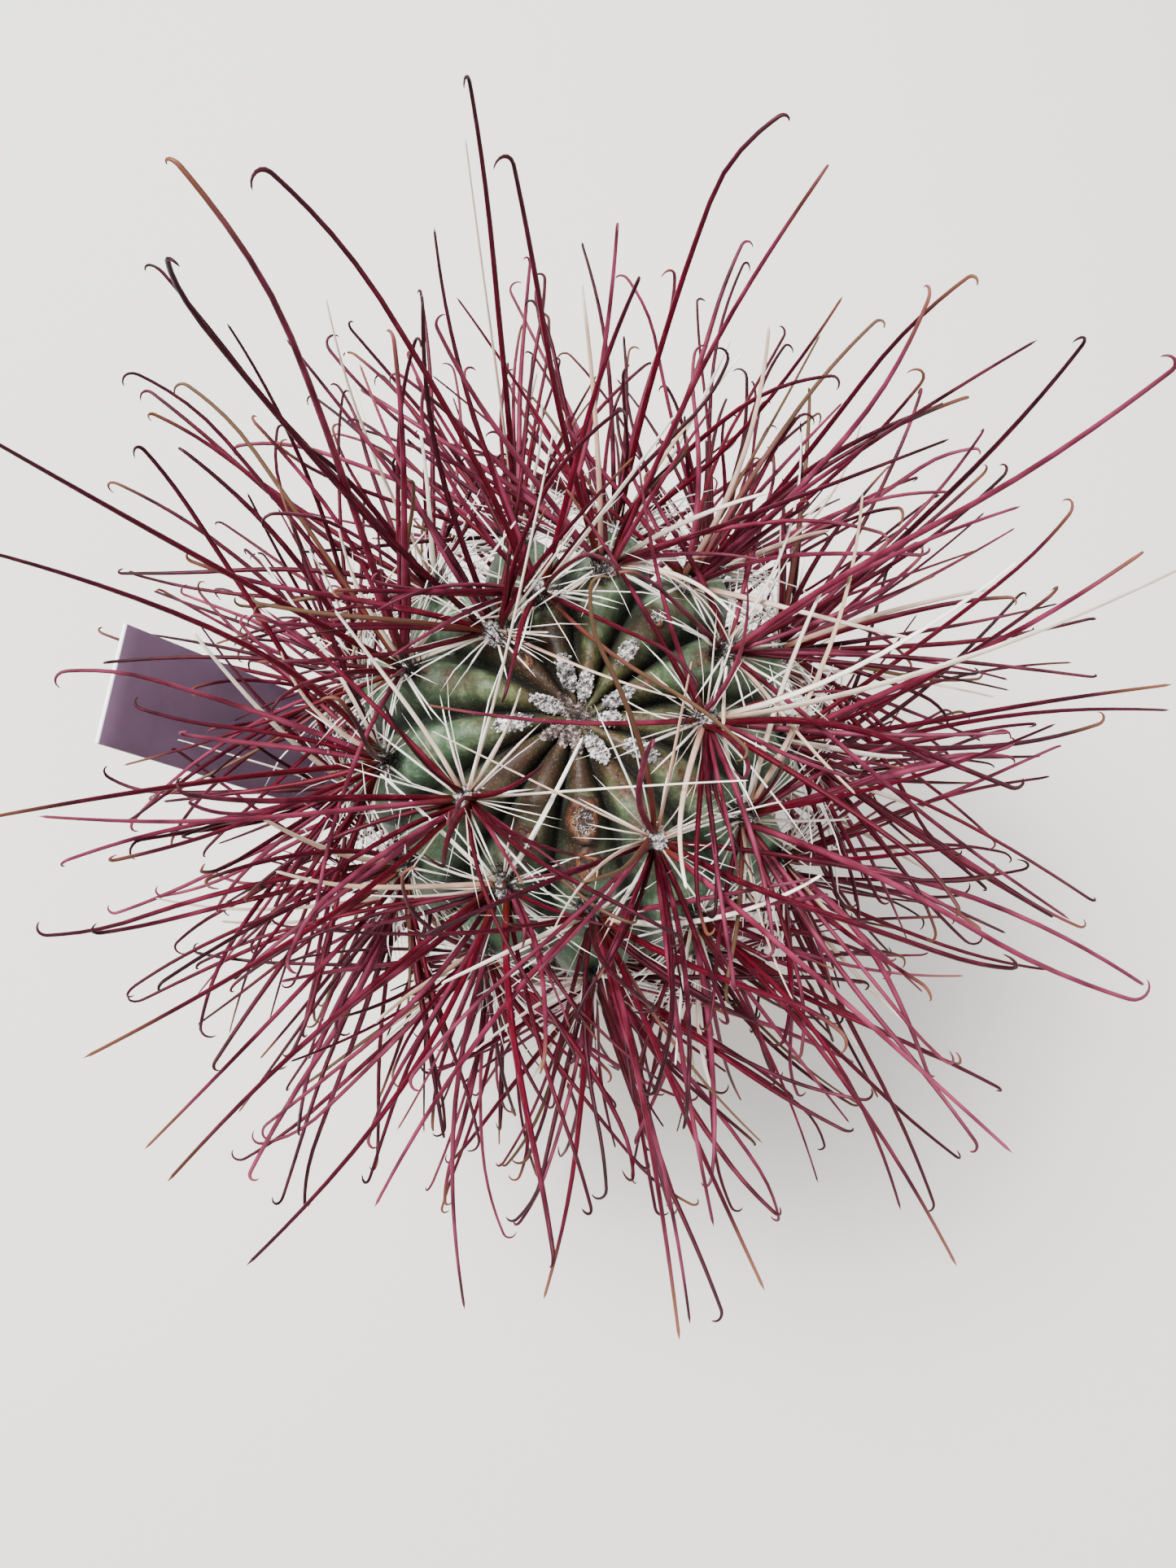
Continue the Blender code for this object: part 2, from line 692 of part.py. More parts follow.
def labelStrip(name, thickness, grow=0.0):
    """A strip, straight where it shows and bent upright below the soil, down to its point."""
    bearing = math.radians(labelBearing)
    flat = Vector((math.cos(bearing), math.sin(bearing), 0))
    across = Vector((-flat.y, flat.x, 0)) * (labelWidth / 2 + grow)
    slope = math.radians(labelSlope)
    spots = [labelEnd, labelEnd - (flat * math.cos(slope) + Vector((0, 0, math.sin(slope)))) * labelAbove]
    step = (labelBelow + 3 * grow) / labelRows
    for i in range(labelRows):
        lean = slope + math.radians(labelBend) * (i + 0.5) / labelRows
        spots.append(spots[-1] - (flat * math.cos(lean) + Vector((0, 0, math.sin(lean)))) * step)
    bm = bmesh.new()
    bmesh.ops.create_grid(bm, x_segments=1, y_segments=labelRows + 1, size=1)
    for vertex in bm.verts:
        row = round((1 - vertex.co.y) / 2 * (labelRows + 1))
        narrow = labelPoint if row == labelRows + 1 else 1
        vertex.co = spots[row] + across * (vertex.co.x * narrow)
    strip = finished(meshOf(bm, name), name, labelPaint)
    thick = strip.modifiers.new("thickness", "SOLIDIFY")
    thick.thickness = thickness
    thick.offset = 0
    return strip


def makeSoil():
    """The grit that fills the pot, with a plain hole for the stem and a slot for the label."""
    wallLean = (potRimRadius - rimLip - 0.5 * mm - potBaseRadius + potWall) / (potHeight - 0.8 * mm - potFloor)
    topRadius = potBaseRadius - potWall + (soilLevel - potFloor) * wallLean
    hole = []
    for polar in (180, 170, 162, 155):
        reach = float(alongOutline(1, np.float64(polar))) + 2 * touchGap
        angle = math.radians(polar)
        hole.append((reach * math.sin(angle) * (polar < 180), stemCentre.z + reach * math.cos(angle)))
    profile = (
        *hole,
        (25.6 * mm, soilLevel),
        (30 * mm, soilLevel),
        (35 * mm, soilLevel),
        (topRadius - 2 * touchGap, soilLevel - 0.5 * mm),
        (potBaseRadius - potWall - 1.5 * touchGap, potFloor + touchGap),
        (0, potFloor + touchGap),
    )
    turnedSoil = turned("turned_soil", profile, soilPaint)
    graph = bpy.context.evaluated_depsgraph_get()
    mesh = bpy.data.meshes.new_from_object(turnedSoil.evaluated_get(graph))
    bpy.data.objects.remove(turnedSoil)
    draw = random.Random(plantSeed)
    for vertex in mesh.vertices:
        across = math.hypot(vertex.co.x, vertex.co.y)
        if vertex.co.z > soilLevel - mm and 26 * mm < across < 38 * mm:
            vertex.co.z += draw.uniform(-0.9, 0.9) * mm
    soil = finished(mesh, "gritty_soil", soilPaint)
    cut(soil, asCutter(labelStrip("label_slot", labelThickness + 4 * touchGap, 2 * touchGap)))
    return soil


def makeCrown(stem, repeats):
    """The felt of the crown with the young areoles that reach it, and the young ones that don't."""
    top = skinPoint(0, 0)
    turn = math.radians(float(ribAzimuth(0, 7)))
    up = Vector((math.cos(turn), math.sin(turn), 0))
    level = {"spot": top, "across": Vector((up.y, -up.x, 0)), "up": up, "out": Vector((0, 0, 1))}
    felt = dome(stem, level, Vector((feltRadius, feltRadius, feltHeight)), ribCount, 4, "felt", plant)
    lone = []
    for rib, polar in enumerate(youngAreole):
        if polar > loneYoungAreole:
            lone.append(rib)
        else:
            dome(stem, crestFrame(rib, polar), youngPadSize, 6, 3, f"young_{rib}", repeats)
    fused(felt, repeats, "crown_wool", woolPaint, top)
    for rib in lone:
        frame = crestFrame(rib, youngAreole[rib])
        young = dome(stem, frame, youngPadSize, 8, 4, f"young_{rib}", plant)
        fused(young, repeats, f"young_areole_rib_{rib + 1:02d}", woolPaint, frame["spot"])


def makeSpines(stem, repeats):
    """An object per areole: its pad of wool and its spines, as one solid."""
    plan, frames = planSpines()
    for (rib, row), spines in plan.items():
        frame = frames[(rib, row)]
        for number, spine in enumerate(spines):
            needle(spine, f"needle_{number}", repeats)
        wool = dome(stem, frame, padSize, 6, 3, "wool", plant)
        fused(wool, repeats, f"spines_rib_{rib + 1:02d}_row_{row + 1}", spinePaint, frame["spot"])


makePot()
makeSoil()
labelStrip("plant_label", labelThickness)
cactus = makeStem()
repeats = newCollection("repeats", bpy.context.scene.collection)
makeCrown(cactus, repeats)
makeSpines(cactus, repeats)
bpy.data.collections.remove(repeats)
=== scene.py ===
# Potted barrel cactus, dressed for rendering. Metres, +Z up, the pot stands on Z = 0
import json
import math
import random
from functools import partial

import bmesh
import bpy
import numpy as np
from mathutils import Matrix, Vector, noise

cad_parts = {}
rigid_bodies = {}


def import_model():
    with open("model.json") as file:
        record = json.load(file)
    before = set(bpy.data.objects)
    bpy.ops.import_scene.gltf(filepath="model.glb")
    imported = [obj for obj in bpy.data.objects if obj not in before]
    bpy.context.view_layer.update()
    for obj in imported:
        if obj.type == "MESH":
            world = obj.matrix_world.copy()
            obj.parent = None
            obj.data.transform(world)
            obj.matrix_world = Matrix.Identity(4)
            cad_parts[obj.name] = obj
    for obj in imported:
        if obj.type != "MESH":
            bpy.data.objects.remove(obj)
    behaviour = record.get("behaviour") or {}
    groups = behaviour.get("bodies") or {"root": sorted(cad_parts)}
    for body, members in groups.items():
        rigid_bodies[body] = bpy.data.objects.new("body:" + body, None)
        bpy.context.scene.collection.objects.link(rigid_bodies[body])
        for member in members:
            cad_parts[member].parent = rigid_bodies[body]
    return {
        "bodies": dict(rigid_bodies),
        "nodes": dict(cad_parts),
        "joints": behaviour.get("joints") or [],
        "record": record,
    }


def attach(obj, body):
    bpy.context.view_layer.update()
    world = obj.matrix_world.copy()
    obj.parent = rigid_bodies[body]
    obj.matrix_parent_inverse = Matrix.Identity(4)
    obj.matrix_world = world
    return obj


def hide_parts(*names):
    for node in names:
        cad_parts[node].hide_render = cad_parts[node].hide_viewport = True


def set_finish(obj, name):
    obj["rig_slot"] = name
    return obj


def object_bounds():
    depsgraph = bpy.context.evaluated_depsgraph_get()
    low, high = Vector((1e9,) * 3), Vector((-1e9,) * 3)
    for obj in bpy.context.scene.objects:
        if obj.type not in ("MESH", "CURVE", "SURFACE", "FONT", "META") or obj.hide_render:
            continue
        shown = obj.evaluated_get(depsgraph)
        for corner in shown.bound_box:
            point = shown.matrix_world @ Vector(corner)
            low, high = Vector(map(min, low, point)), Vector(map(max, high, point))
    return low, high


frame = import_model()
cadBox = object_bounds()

mm = 0.001
scene = bpy.context.scene

# Shared helpers


def linearColour(hexValue):
    parts = [int(hexValue[i : i + 2], 16) / 255 for i in (0, 2, 4)]
    return (*[c / 12.92 if c <= 0.04045 else ((c + 0.055) / 1.055) ** 2.4 for c in parts], 1)


def setInputs(tree, node, inputs):
    # by a socket's name or number: a value, a hex colour or the output that feeds it
    for key, value in inputs.items():
        if isinstance(value, bpy.types.NodeSocket):
            tree.links.new(value, node.inputs[key])
        else:
            node.inputs[key].default_value = linearColour(value) if isinstance(value, str) else value


def addNode(tree, kind, inputs=(), stops=(), out=None, **settings):
    # a list of inputs fills the first sockets. Gives the output called out, or else the first in use
    node = tree.nodes.new("ShaderNode" + kind)
    for key, value in settings.items():
        setattr(node, key, value)
    setInputs(tree, node, inputs if isinstance(inputs, dict) else dict(enumerate(inputs)))
    if stops:
        marks = node.color_ramp.elements
        while len(marks) < len(stops):
            marks.new(0.5)
        for mark, (place, colour) in zip(marks, stops):
            mark.position = place
            mark.color = linearColour(colour)
    return node.outputs[out] if out else next((output for output in node.outputs if output.enabled), None)


def newMaterial(name):
    # the material, what adds a node to it, and what sets its shader's inputs
    made = bpy.data.materials.new(name)
    made.use_nodes = True
    tree = made.node_tree
    tree.nodes.clear()
    surface = addNode(tree, "BsdfPrincipled")
    addNode(tree, "OutputMaterial", {"Surface": surface})
    return made, partial(addNode, tree), partial(setInputs, tree, surface.node)


def addPiece(name, mesh, material, slot, *nodes, sharp=None):
    mesh.name = name
    mesh.materials.clear()
    mesh.materials.append(material)
    mesh.shade_smooth()
    if sharp:
        mesh.set_sharp_from_angle(angle=math.radians(sharp))
    piece = bpy.data.objects.new(name, mesh)
    scene.collection.objects.link(piece)
    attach(piece, "root")
    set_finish(piece, slot)
    if nodes:
        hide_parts(*nodes)


def asMesh(bm, name):
    mesh = bpy.data.meshes.new(name)
    bm.to_mesh(mesh)
    bm.free()
    return mesh


def joinMeshes(name, meshes):
    bm = bmesh.new()
    for mesh in meshes:
        bm.from_mesh(mesh)
    for mesh in meshes:
        bpy.data.meshes.remove(mesh)
    return asMesh(bm, name)


def evaluatedMesh(piece):
    bpy.context.view_layer.update()
    return bpy.data.meshes.new_from_object(piece.evaluated_get(bpy.context.evaluated_depsgraph_get()))


def turned(profile, steps, merge):
    # a round form about Z, from radii and heights
    bm = bmesh.new()
    verts = [bm.verts.new((radius, 0, level)) for radius, level in profile]
    edges = [bm.edges.new(pair) for pair in zip(verts, verts[1:])]
    bmesh.ops.spin(
        bm, geom=verts + edges, cent=(0, 0, 0), axis=(0, 0, 1), angle=math.tau, steps=steps, use_merge=True
    )
    bmesh.ops.remove_doubles(bm, verts=bm.verts, dist=merge)
    bmesh.ops.recalc_face_normals(bm, faces=bm.faces)
    return bm


def addAttribute(mesh, name, values, kind="FLOAT"):
    layer = mesh.attributes.new(name, kind, "POINT")
    field = "vector" if kind == "FLOAT_VECTOR" else "value"
    layer.data.foreach_set(field, np.asarray(values, np.float32).ravel())


def scatter(draw, spread=1):
    return Vector([draw.gauss(0, spread) for _ in range(3)])


def shiftNoise(draw):
    return Vector([draw.uniform(-9, 9) for _ in range(3)])


def noiseAt(points, size):
    return np.array([noise.noise(Vector(p) / size) for p in points])


# The stem's form, the same as the solid's

stem = {
    "centre": Vector((0, 0, 114 * mm)),
    "ribs": 13,
    "turn": -3.0,  # degrees
    "crownTwist": -9.0,
    "twistFade": 10.0,
    "chin": 1.9 * mm,  # dip between areoles
    "chinned": (10, 24, 126, 142),  # polar degrees where the dips fade in and out
    "furrowPower": 2.3,
    "crest": (  # polar degrees, reach and furrow depth in mm
        (0, 31.5, 0.0),
        (7, 33.2, 1.2),
        (14, 36.2, 3.8),
        (24, 39.4, 6.0),
        (36, 41.5, 7.4),
        (60, 43.1, 8.3),
        (90, 43.6, 8.5),
        (112, 43.3, 7.8),
        (130, 43.8, 5.4),
        (146, 46.6, 2.6),
        (160, 50.0, 0.5),
        (180, 52.5, 0.0),
    ),
    "firstAreole": (31, 41, 46, 40, 33, 29, 47, 52, 34, 46, 50, 36, 49),
    "youngAreole": (8, 12, 20, 7, 12, 5, 9, 17, 9, 7, 8, 11, 19),
    "rows": 4,
    "lowestAreole": 112.0,
    "lowestShare": 0.5,
}


def alongOutline(column, polar):
    knots = np.array([row[0] for row in stem["crest"]], float)
    values = np.array([row[column] for row in stem["crest"]], float)
    slopes = np.gradient(values, knots)
    i = np.clip(np.searchsorted(knots, polar, side="right") - 1, 0, len(knots) - 2)
    span = knots[i + 1] - knots[i]
    t = (polar - knots[i]) / span
    rise = (2 * t**3 - 3 * t**2 + 1) * values[i] + (3 * t**2 - 2 * t**3) * values[i + 1]
    lean = (t**3 - 2 * t**2 + t) * slopes[i] + (t**3 - t**2) * slopes[i + 1]
    return (rise + span * lean) * mm


def ribAzimuth(rib, polar):
    twist = stem["crownTwist"] * np.exp(-polar / stem["twistFade"])
    return rib * 360 / stem["ribs"] + stem["turn"] + twist


def areoleStep(rib):
    first = np.array(stem["firstAreole"], float)[rib]
    last = stem["lowestAreole"] + stem["lowestShare"] * (first - min(stem["firstAreole"]))
    return (last - first) / (stem["rows"] - 1)


def furrowShare(polar, azimuth):
    # 0 on a rib's crest, 1 in the furrow beside it, with the rib's number
    turn = (azimuth - ribAzimuth(0, polar)) * stem["ribs"] / 360
    rib = np.round(turn).astype(int)
    return np.abs(2 * (turn - rib)), rib % stem["ribs"]


def stemReach(polar, azimuth):
    aside, rib = furrowShare(polar, azimuth)
    aside = aside ** stem["furrowPower"]
    first = np.array(stem["firstAreole"], float)[rib]
    phase = 2 * np.pi * (polar - first) / areoleStep(rib)
    fade = np.interp(polar, stem["chinned"], (0, 1, 1, 0))
    chin = stem["chin"] * fade * 0.5 * (1 - np.cos(phase)) * (1 - aside)
    return alongOutline(1, polar) - alongOutline(2, polar) * aside - chin


def directions(polar, azimuth):
    flat = np.sin(np.radians(polar))
    ahead = np.radians(azimuth)
    return np.stack([flat * np.cos(ahead), flat * np.sin(ahead), np.cos(np.radians(polar))], -1)


def skinPoint(polar, azimuth):
    reach = stemReach(np.float64(polar), np.float64(azimuth))
    return stem["centre"] + Vector(directions(polar, azimuth)) * reach


def polarAngles(points):
    away = points - np.array(stem["centre"])
    reach = np.linalg.norm(away, axis=1)
    polar = np.degrees(np.arccos(np.clip(away[:, 2] / reach, -1, 1)))
    return reach, polar, np.degrees(np.arctan2(away[:, 1], away[:, 0]))


def aboveSkin(points):
    reach, polar, azimuth = polarAngles(points)
    return reach - stemReach(polar, azimuth)


def crestSpot(rib, polar):
    return skinPoint(polar, ribAzimuth(rib, polar))


def crestFrame(rib, polar):
    spot = crestSpot(rib, polar)
    up = (crestSpot(rib, polar - 2) - crestSpot(rib, polar + 2)).normalized()
    across = up.cross(spot - stem["centre"]).normalized()
    return {"spot": spot, "up": up, "across": across, "out": across.cross(up)}


# The view of the photograph

view = {
    "eye": Vector((1.7 * mm, -47.4 * mm, stem["centre"].z + 223 * mm)),
    "pitch": 10.7,  # degrees off straight down
    "focal": 1448.0,  # pixels
    "size": (1445, 1927),
    "middle": (722.5, 963.5),
}


def addCamera():
    lens = bpy.data.cameras.new("camera")
    lens.sensor_fit = "HORIZONTAL"
    lens.sensor_width = 36
    lens.lens = lens.sensor_width * view["focal"] / view["size"][0]
    lens.clip_start = 0.01
    camera = bpy.data.objects.new("camera", lens)
    camera.location = view["eye"]
    camera.rotation_euler = (math.radians(view["pitch"]), 0, 0)
    scene.collection.objects.link(camera)
    scene.camera = camera


def sightLine(pixel):
    pitch = math.radians(view["pitch"])
    back = Vector((0, -math.sin(pitch), math.cos(pitch)))
    up = back.cross(Vector((1, 0, 0)))
    sideways = (pixel[0] - view["middle"][0]) / view["focal"]
    upward = (view["middle"][1] - pixel[1]) / view["focal"]
    return (Vector((sideways, 0, 0)) + up * upward - back).normalized()


# The label's and the pot's sizes, which the spines keep clear of

label = {
    "width": 21.5 * mm,
    "thickness": 0.8 * mm,
    "end": stem["centre"] + Vector((-80.2, 7.2, 27.5)) * mm,  # middle of its outer end
    "bearing": math.radians(171.0),
    "slope": math.radians(56.6),
    "above": 81 * mm,
    "straightRows": 24,
    "below": 27 * mm,
    "bentRows": 6,
    "bend": math.radians(24.0),
    "point": 0.3,  # share of the width that the point keeps
    # painted shade: the sheet is coloured the dark lilac grey of its shaded face
    "paintedShadeSheet": ((0.3, "4E3A4C"), (0.7, "5E485C")),
    "dust": "94848F",
    # painted highlight: the near white of the outer end, where light catches the cut edge
    "paintedEdgeHighlight": "FFFAFF",
}

pot = {
    "height": 78 * mm,
    "rim": 44 * mm,
    "base": 31 * mm,
    "wall": 1.9 * mm,
    "band": 11 * mm,
    "lip": 1.6 * mm,
    "floor": 2.4 * mm,
    "holes": 5,
    "holeRadius": 3.2 * mm,
    "holeCircle": 19 * mm,
    "steps": 144,
    "plastic": ((0.3, "6E3D2B"), (0.7, "84503A")),
    "chalk": "D8C7B8",
}


def labelWays(slope):
    # the way down the label at a slope, and the way across it
    flat = Vector((math.cos(label["bearing"]), math.sin(label["bearing"]), 0))
    return -(flat * math.cos(slope) + Vector((0, 0, math.sin(slope)))), Vector((-flat.y, flat.x, 0))


# The spines' rule, the same as the solid's, with the same draws in the same order

spineRule = {
    "seed": 23,
    "kinds": {  # mm at the root and the end of the shaft, length in mm, lean in degrees, bow
        "hooked": {"wide": 1.2, "slim": 0.6, "long": (40, 62), "lean": (14, 52), "bow": 0.06},
        "central": {"wide": 1.1, "slim": 0.5, "long": (36, 56), "lean": (20, 58), "bow": 0.04},
        "pale": {"wide": 1.0, "slim": 0.55, "long": (26, 46), "lean": (30, 62), "bow": 0.06},
        "radial": {"wide": 0.6, "slim": 0.3, "long": (10, 19), "lean": (70, 84), "bow": 0.0},
    },
    "order": ("hooked", "hooked", "central", "hooked", "pale"),
    "apart": (55, 72, 72, 72),  # degrees between two of these, by row
    "radials": (5, 5, 5, 4),
    "tries": 40,
    "radialTries": 24,
    "stray": (10, 50),  # degrees off the bearing: at first, and more by the last try
    "shorten": 0.45,  # share of the length that the last try takes off
    "hookRadius": 1.0 * mm,
    "hookTurn": math.radians(165.0),
    "gap": 0.35 * mm,
    "touchGap": 0.3 * mm,
    "floorGap": 4 * mm,
    "corner": 1.2,  # how far the solid's three-sided needles reach, in half widths
    "rootHeight": 0.95 * mm,
    "rootSpread": 0.48,
    "pad": Vector((2.6 * mm, 3.4 * mm, 1.8 * mm)),
    "padMiddle": 0.4 * mm,  # above the skin
    "felt": 4.8 * mm,
    "bowShare": (0.3, 1),
    "slack": (1.13, 1.06, 1.03, 1.02),  # length of an aimed one over the shortest that reaches, by row
    "slackStep": 0.003,
    "shortest": 1.005,
    "longest": 92 * mm,
    "bowAt": (0.3, 0.7),  # where an aimed one may pass its way pixel
    "mostBow": 0.16,
}
# The longest spines: rib, row, the pixel their tip reaches, a pixel on the way, and the kind
longSpines = (
    (4, 1, (577, 101), (609, 379), "hooked"),
    (4, 1, (571, 165), (600, 380), "pale"),
    (3, 0, (631, 202), (663, 409), "hooked"),
    (6, 0, (222, 205), (347, 439), "hooked"),
    (4, 0, (333, 212), (483, 411), "hooked"),
    (5, 1, (200, 335), (321, 490), "hooked"),
    (5, 0, (206, 320), (310, 468), "hooked"),
    (6, 0, (484, 418), (492, 600), "hooked"),
    (3, 0, (537, 403), (620, 535), "hooked"),
    (4, 1, (347, 552), (480, 612), "hooked"),
    (6, 1, (228, 556), (330, 650), "hooked"),
    (7, 1, (177, 553), (265, 674), "hooked"),
    (6, 0, (-30, 530), (250, 688), "central"),
    (7, 0, (-20, 677), (210, 748), "central"),
    (5, 1, (400, 364), (460, 560), "pale"),
    (6, 1, (278, 396), (350, 520), "central"),
    (3, 1, (957, 143), (844, 368), "hooked"),
    (3, 0, (1003, 224), (897, 395), "hooked"),
    (2, 1, (1189, 341), (1060, 487), "hooked"),
    (2, 0, (1140, 370), (1040, 525), "hooked"),
    (3, 1, (1036, 363), (930, 510), "central"),
    (2, 0, (1276, 417), (1090, 530), "central"),
    (1, 1, (1330, 424), (1200, 565), "hooked"),
    (1, 0, (1440, 455), (1196, 604), "hooked"),
    (0, 1, (1392, 687), (1196, 800), "hooked"),
    (0, 0, (1470, 688), (1200, 803), "pale"),
    (1, 0, (1255, 622), (1100, 682), "central"),
    (3, 0, (1168, 539), (951, 622), "central"),
    (3, 1, (829, 340), (795, 457), "hooked"),
    (4, 0, (784, 345), (740, 460), "hooked"),
    (7, 0, (-20, 1006), (230, 964), "central"),
    (7, 1, (85, 1056), (258, 1012), "hooked"),
    (8, 0, (46, 1003), (300, 1005), "central"),
    (8, 0, (101, 1301), (316, 1184), "central"),
    (8, 1, (177, 1413), (344, 1242), "central"),
    (9, 0, (205, 1453), (402, 1259), "central"),
    (9, 0, (302, 1556), (488, 1345), "central"),
    (10, 0, (460, 1484), (545, 1339), "central"),
    (9, 1, (455, 1446), (500, 1310), "hooked"),
    (9, 1, (571, 1610), (556, 1414), "central"),
    (10, 1, (668, 1597), (702, 1440), "central"),
    (9, 0, (679, 1535), (640, 1350), "hooked"),
    (10, 0, (835, 1648), (792, 1363), "central"),
    (10, 1, (848, 1628), (800, 1380), "central"),
    (10, 0, (940, 1587), (832, 1345), "central"),
    (11, 1, (1176, 1557), (993, 1271), "central"),
    (11, 0, (1245, 1418), (1030, 1224), "central"),
    (1, 0, (1316, 1131), (1102, 972), "central"),
    (12, 0, (1388, 1228), (1188, 1121), "hooked"),
    (12, 1, (1397, 1205), (1188, 1100), "hooked"),
    (11, 0, (1243, 1190), (1016, 1121), "hooked"),
    (12, 1, (1138, 1314), (1050, 1140), "hooked"),
    (12, 0, (1298, 889), (1102, 961), "central"),
    (0, 1, (1441, 841), (1200, 878), "central"),
    (0, 2, (1438, 873), (1240, 880), "central"),
    (0, 0, (1243, 968), (1073, 898), "hooked"),
    (10, 1, (1035, 1388), (889, 1294), "hooked"),
    (11, 1, (1107, 1488), (1030, 1310), "central"),
    (11, 0, (877, 1508), (838, 1294), "central"),
    (10, 0, (1033, 1268), (880, 1205), "hooked"),
    (9, 1, (778, 1445), (717, 1305), "hooked"),
)


def shaftPoint(spine, t):
    return spine["root"].lerp(spine["tip"], t) + spine["bow"] * (4 * t * (1 - t))


def spineCourse(spine):
    shaftSteps = 1 if spine["kind"] == "radial" else 2
    hookSteps = 2
    centres = [shaftPoint(spine, i / shaftSteps) for i in range(shaftSteps + 1)]
    half = [spine["wide"] + (spine["slim"] - spine["wide"]) * i / shaftSteps for i in range(shaftSteps + 1)]
    if spine["kind"] == "hooked":
        ahead, aside = hookWays(spine)
        for i in range(1, hookSteps + 1):
            turn = spineRule["hookTurn"] * i / hookSteps
            swing = ahead * math.sin(turn) + aside * (1 - math.cos(turn))
            centres.append(spine["tip"] + swing * spineRule["hookRadius"])
            half.append(spine["slim"] * (1 - i / hookSteps))
    half[-1] = 0.0
    return centres, [h / 2 for h in half]


def crosswise(bend, way):
    return (bend - way * bend.dot(way)).normalized()


def hookWays(spine):
    # the shaft's way at its tip, and the way that it hooks over to
    ahead = (spine["tip"] - spine["root"] - spine["bow"] * 4).normalized()
    return ahead, crosswise(spine["curl"], ahead)


def piecesApart(start, end, starts, ends):
    # shortest distance from one straight piece to each of many others
    along = end - start
    others = ends - starts
    between = start - starts
    a = along @ along
    e = (others**2).sum(1)
    f = (others * between).sum(1)
    b = others @ along
    c = between @ along
    room = np.maximum(a * e - b * b, 1e-18)
    s = np.clip((b * f - c * e) / room, 0, 1)
    t = np.clip((b * s + f) / e, 0, 1)
    s = np.clip((b * t - c) / a, 0, 1)
    return np.linalg.norm(between + np.outer(s, along) - others * t[:, None], axis=1)


class Taken:
    # the room that is taken: straight pieces with a half width and an owner
    def __init__(self):
        self.starts = np.zeros((0, 3))
        self.ends = np.zeros((0, 3))
        self.half = np.zeros(0)
        self.owner = np.zeros(0, int)

    def add(self, centres, half, owner):
        points = np.array([tuple(c) for c in centres])
        self.starts = np.vstack([self.starts, points[:-1]])
        self.ends = np.vstack([self.ends, points[1:]])
        self.half = np.append(self.half, np.maximum(half[:-1], half[1:]))
        self.owner = np.append(self.owner, np.full(len(points) - 1, owner))

    def clear(self, centres, half, owner):
        points = np.array([tuple(c) for c in centres])
        other = self.owner != owner
        for i in range(len(points) - 1):
            apart = piecesApart(points[i], points[i + 1], self.starts[other], self.ends[other])
            if (apart < self.half[other] + half[i] + spineRule["gap"]).any():
                return False
        return clearOfRest(points, half)


def alongCourse(points, half, spacing=1.2 * mm):
    found = []
    wide = []
    for i in range(len(points) - 1):
        steps = max(2, int(np.linalg.norm(points[i + 1] - points[i]) / spacing))
        for k in range(steps):
            found.append(points[i] + (points[i + 1] - points[i]) * k / steps)
            wide.append(half[i])
    found.append(points[-1])
    wide.append(half[-1])
    return np.array(found), np.array(wide)


def labelPlaces(points):
    inward, across = (np.array(way) for way in labelWays(label["slope"]))
    away = points - np.array(label["end"])
    return away @ inward, away @ across, away @ np.cross(inward, across)


def clearOfRest(points, half):
    gap = spineRule["gap"]
    found, wide = alongCourse(points, half)
    leaving = np.linalg.norm(found - points[0], axis=1) > spineRule["pad"].x
    if (aboveSkin(found) < wide * spineRule["corner"] + spineRule["touchGap"] / 3 + gap * leaving).any():
        return False
    across = np.hypot(found[:, 0], found[:, 1])
    if ((across < pot["rim"] + wide + 2 * gap) & (found[:, 2] < pot["height"] + wide + 2 * gap)).any():
        return False
    if (found[:, 2] < wide + spineRule["floorGap"]).any():
        return False
    along, aside, out = labelPlaces(found)
    near = (along > -wide - gap) & (along < label["above"])
    near &= np.abs(aside) < label["width"] / 2 + wide + gap
    return not (near & (np.abs(out) < label["thickness"] / 2 + wide + gap)).any()


def aimedCourse(root, tipPixel, wayPixel, slack):
    # the tip and bow of a spine from that root that seems to pass one pixel and end at another
    eye = view["eye"]
    way = sightLine(tipPixel)
    nearest = eye + way * (root - eye).dot(way)
    shortest = (nearest - root).length
    length = max(shortest * spineRule["shortest"], min(shortest * slack, spineRule["longest"]))
    tip = nearest - way * math.sqrt(length**2 - shortest**2)
    chord = tip - root
    ahead = sightLine(wayPixel)
    facing = chord.cross(ahead)
    t = (eye - root).cross(ahead).dot(facing) / facing.length_squared
    t = np.clip(t, *spineRule["bowAt"]).item()
    spot = root + chord * t
    offset = eye + ahead * (spot - eye).dot(ahead) - spot
    bow = offset / (4 * t * (1 - t))
    return tip, bow * min(1, spineRule["mostBow"] * length / bow.length)


def spineWay(frame, turn, lean):
    # by its bearing about the areole, 0 up the rib, and its lean off the way out
    aside = frame["up"] * math.cos(turn) + frame["across"] * math.sin(turn)
    return frame["out"] * math.cos(lean) + aside * math.sin(lean)


def padRim(frame, turn):
    pad = spineRule["pad"]
    return frame["up"] * (math.cos(turn) * pad.y) + frame["across"] * (math.sin(turn) * pad.x)


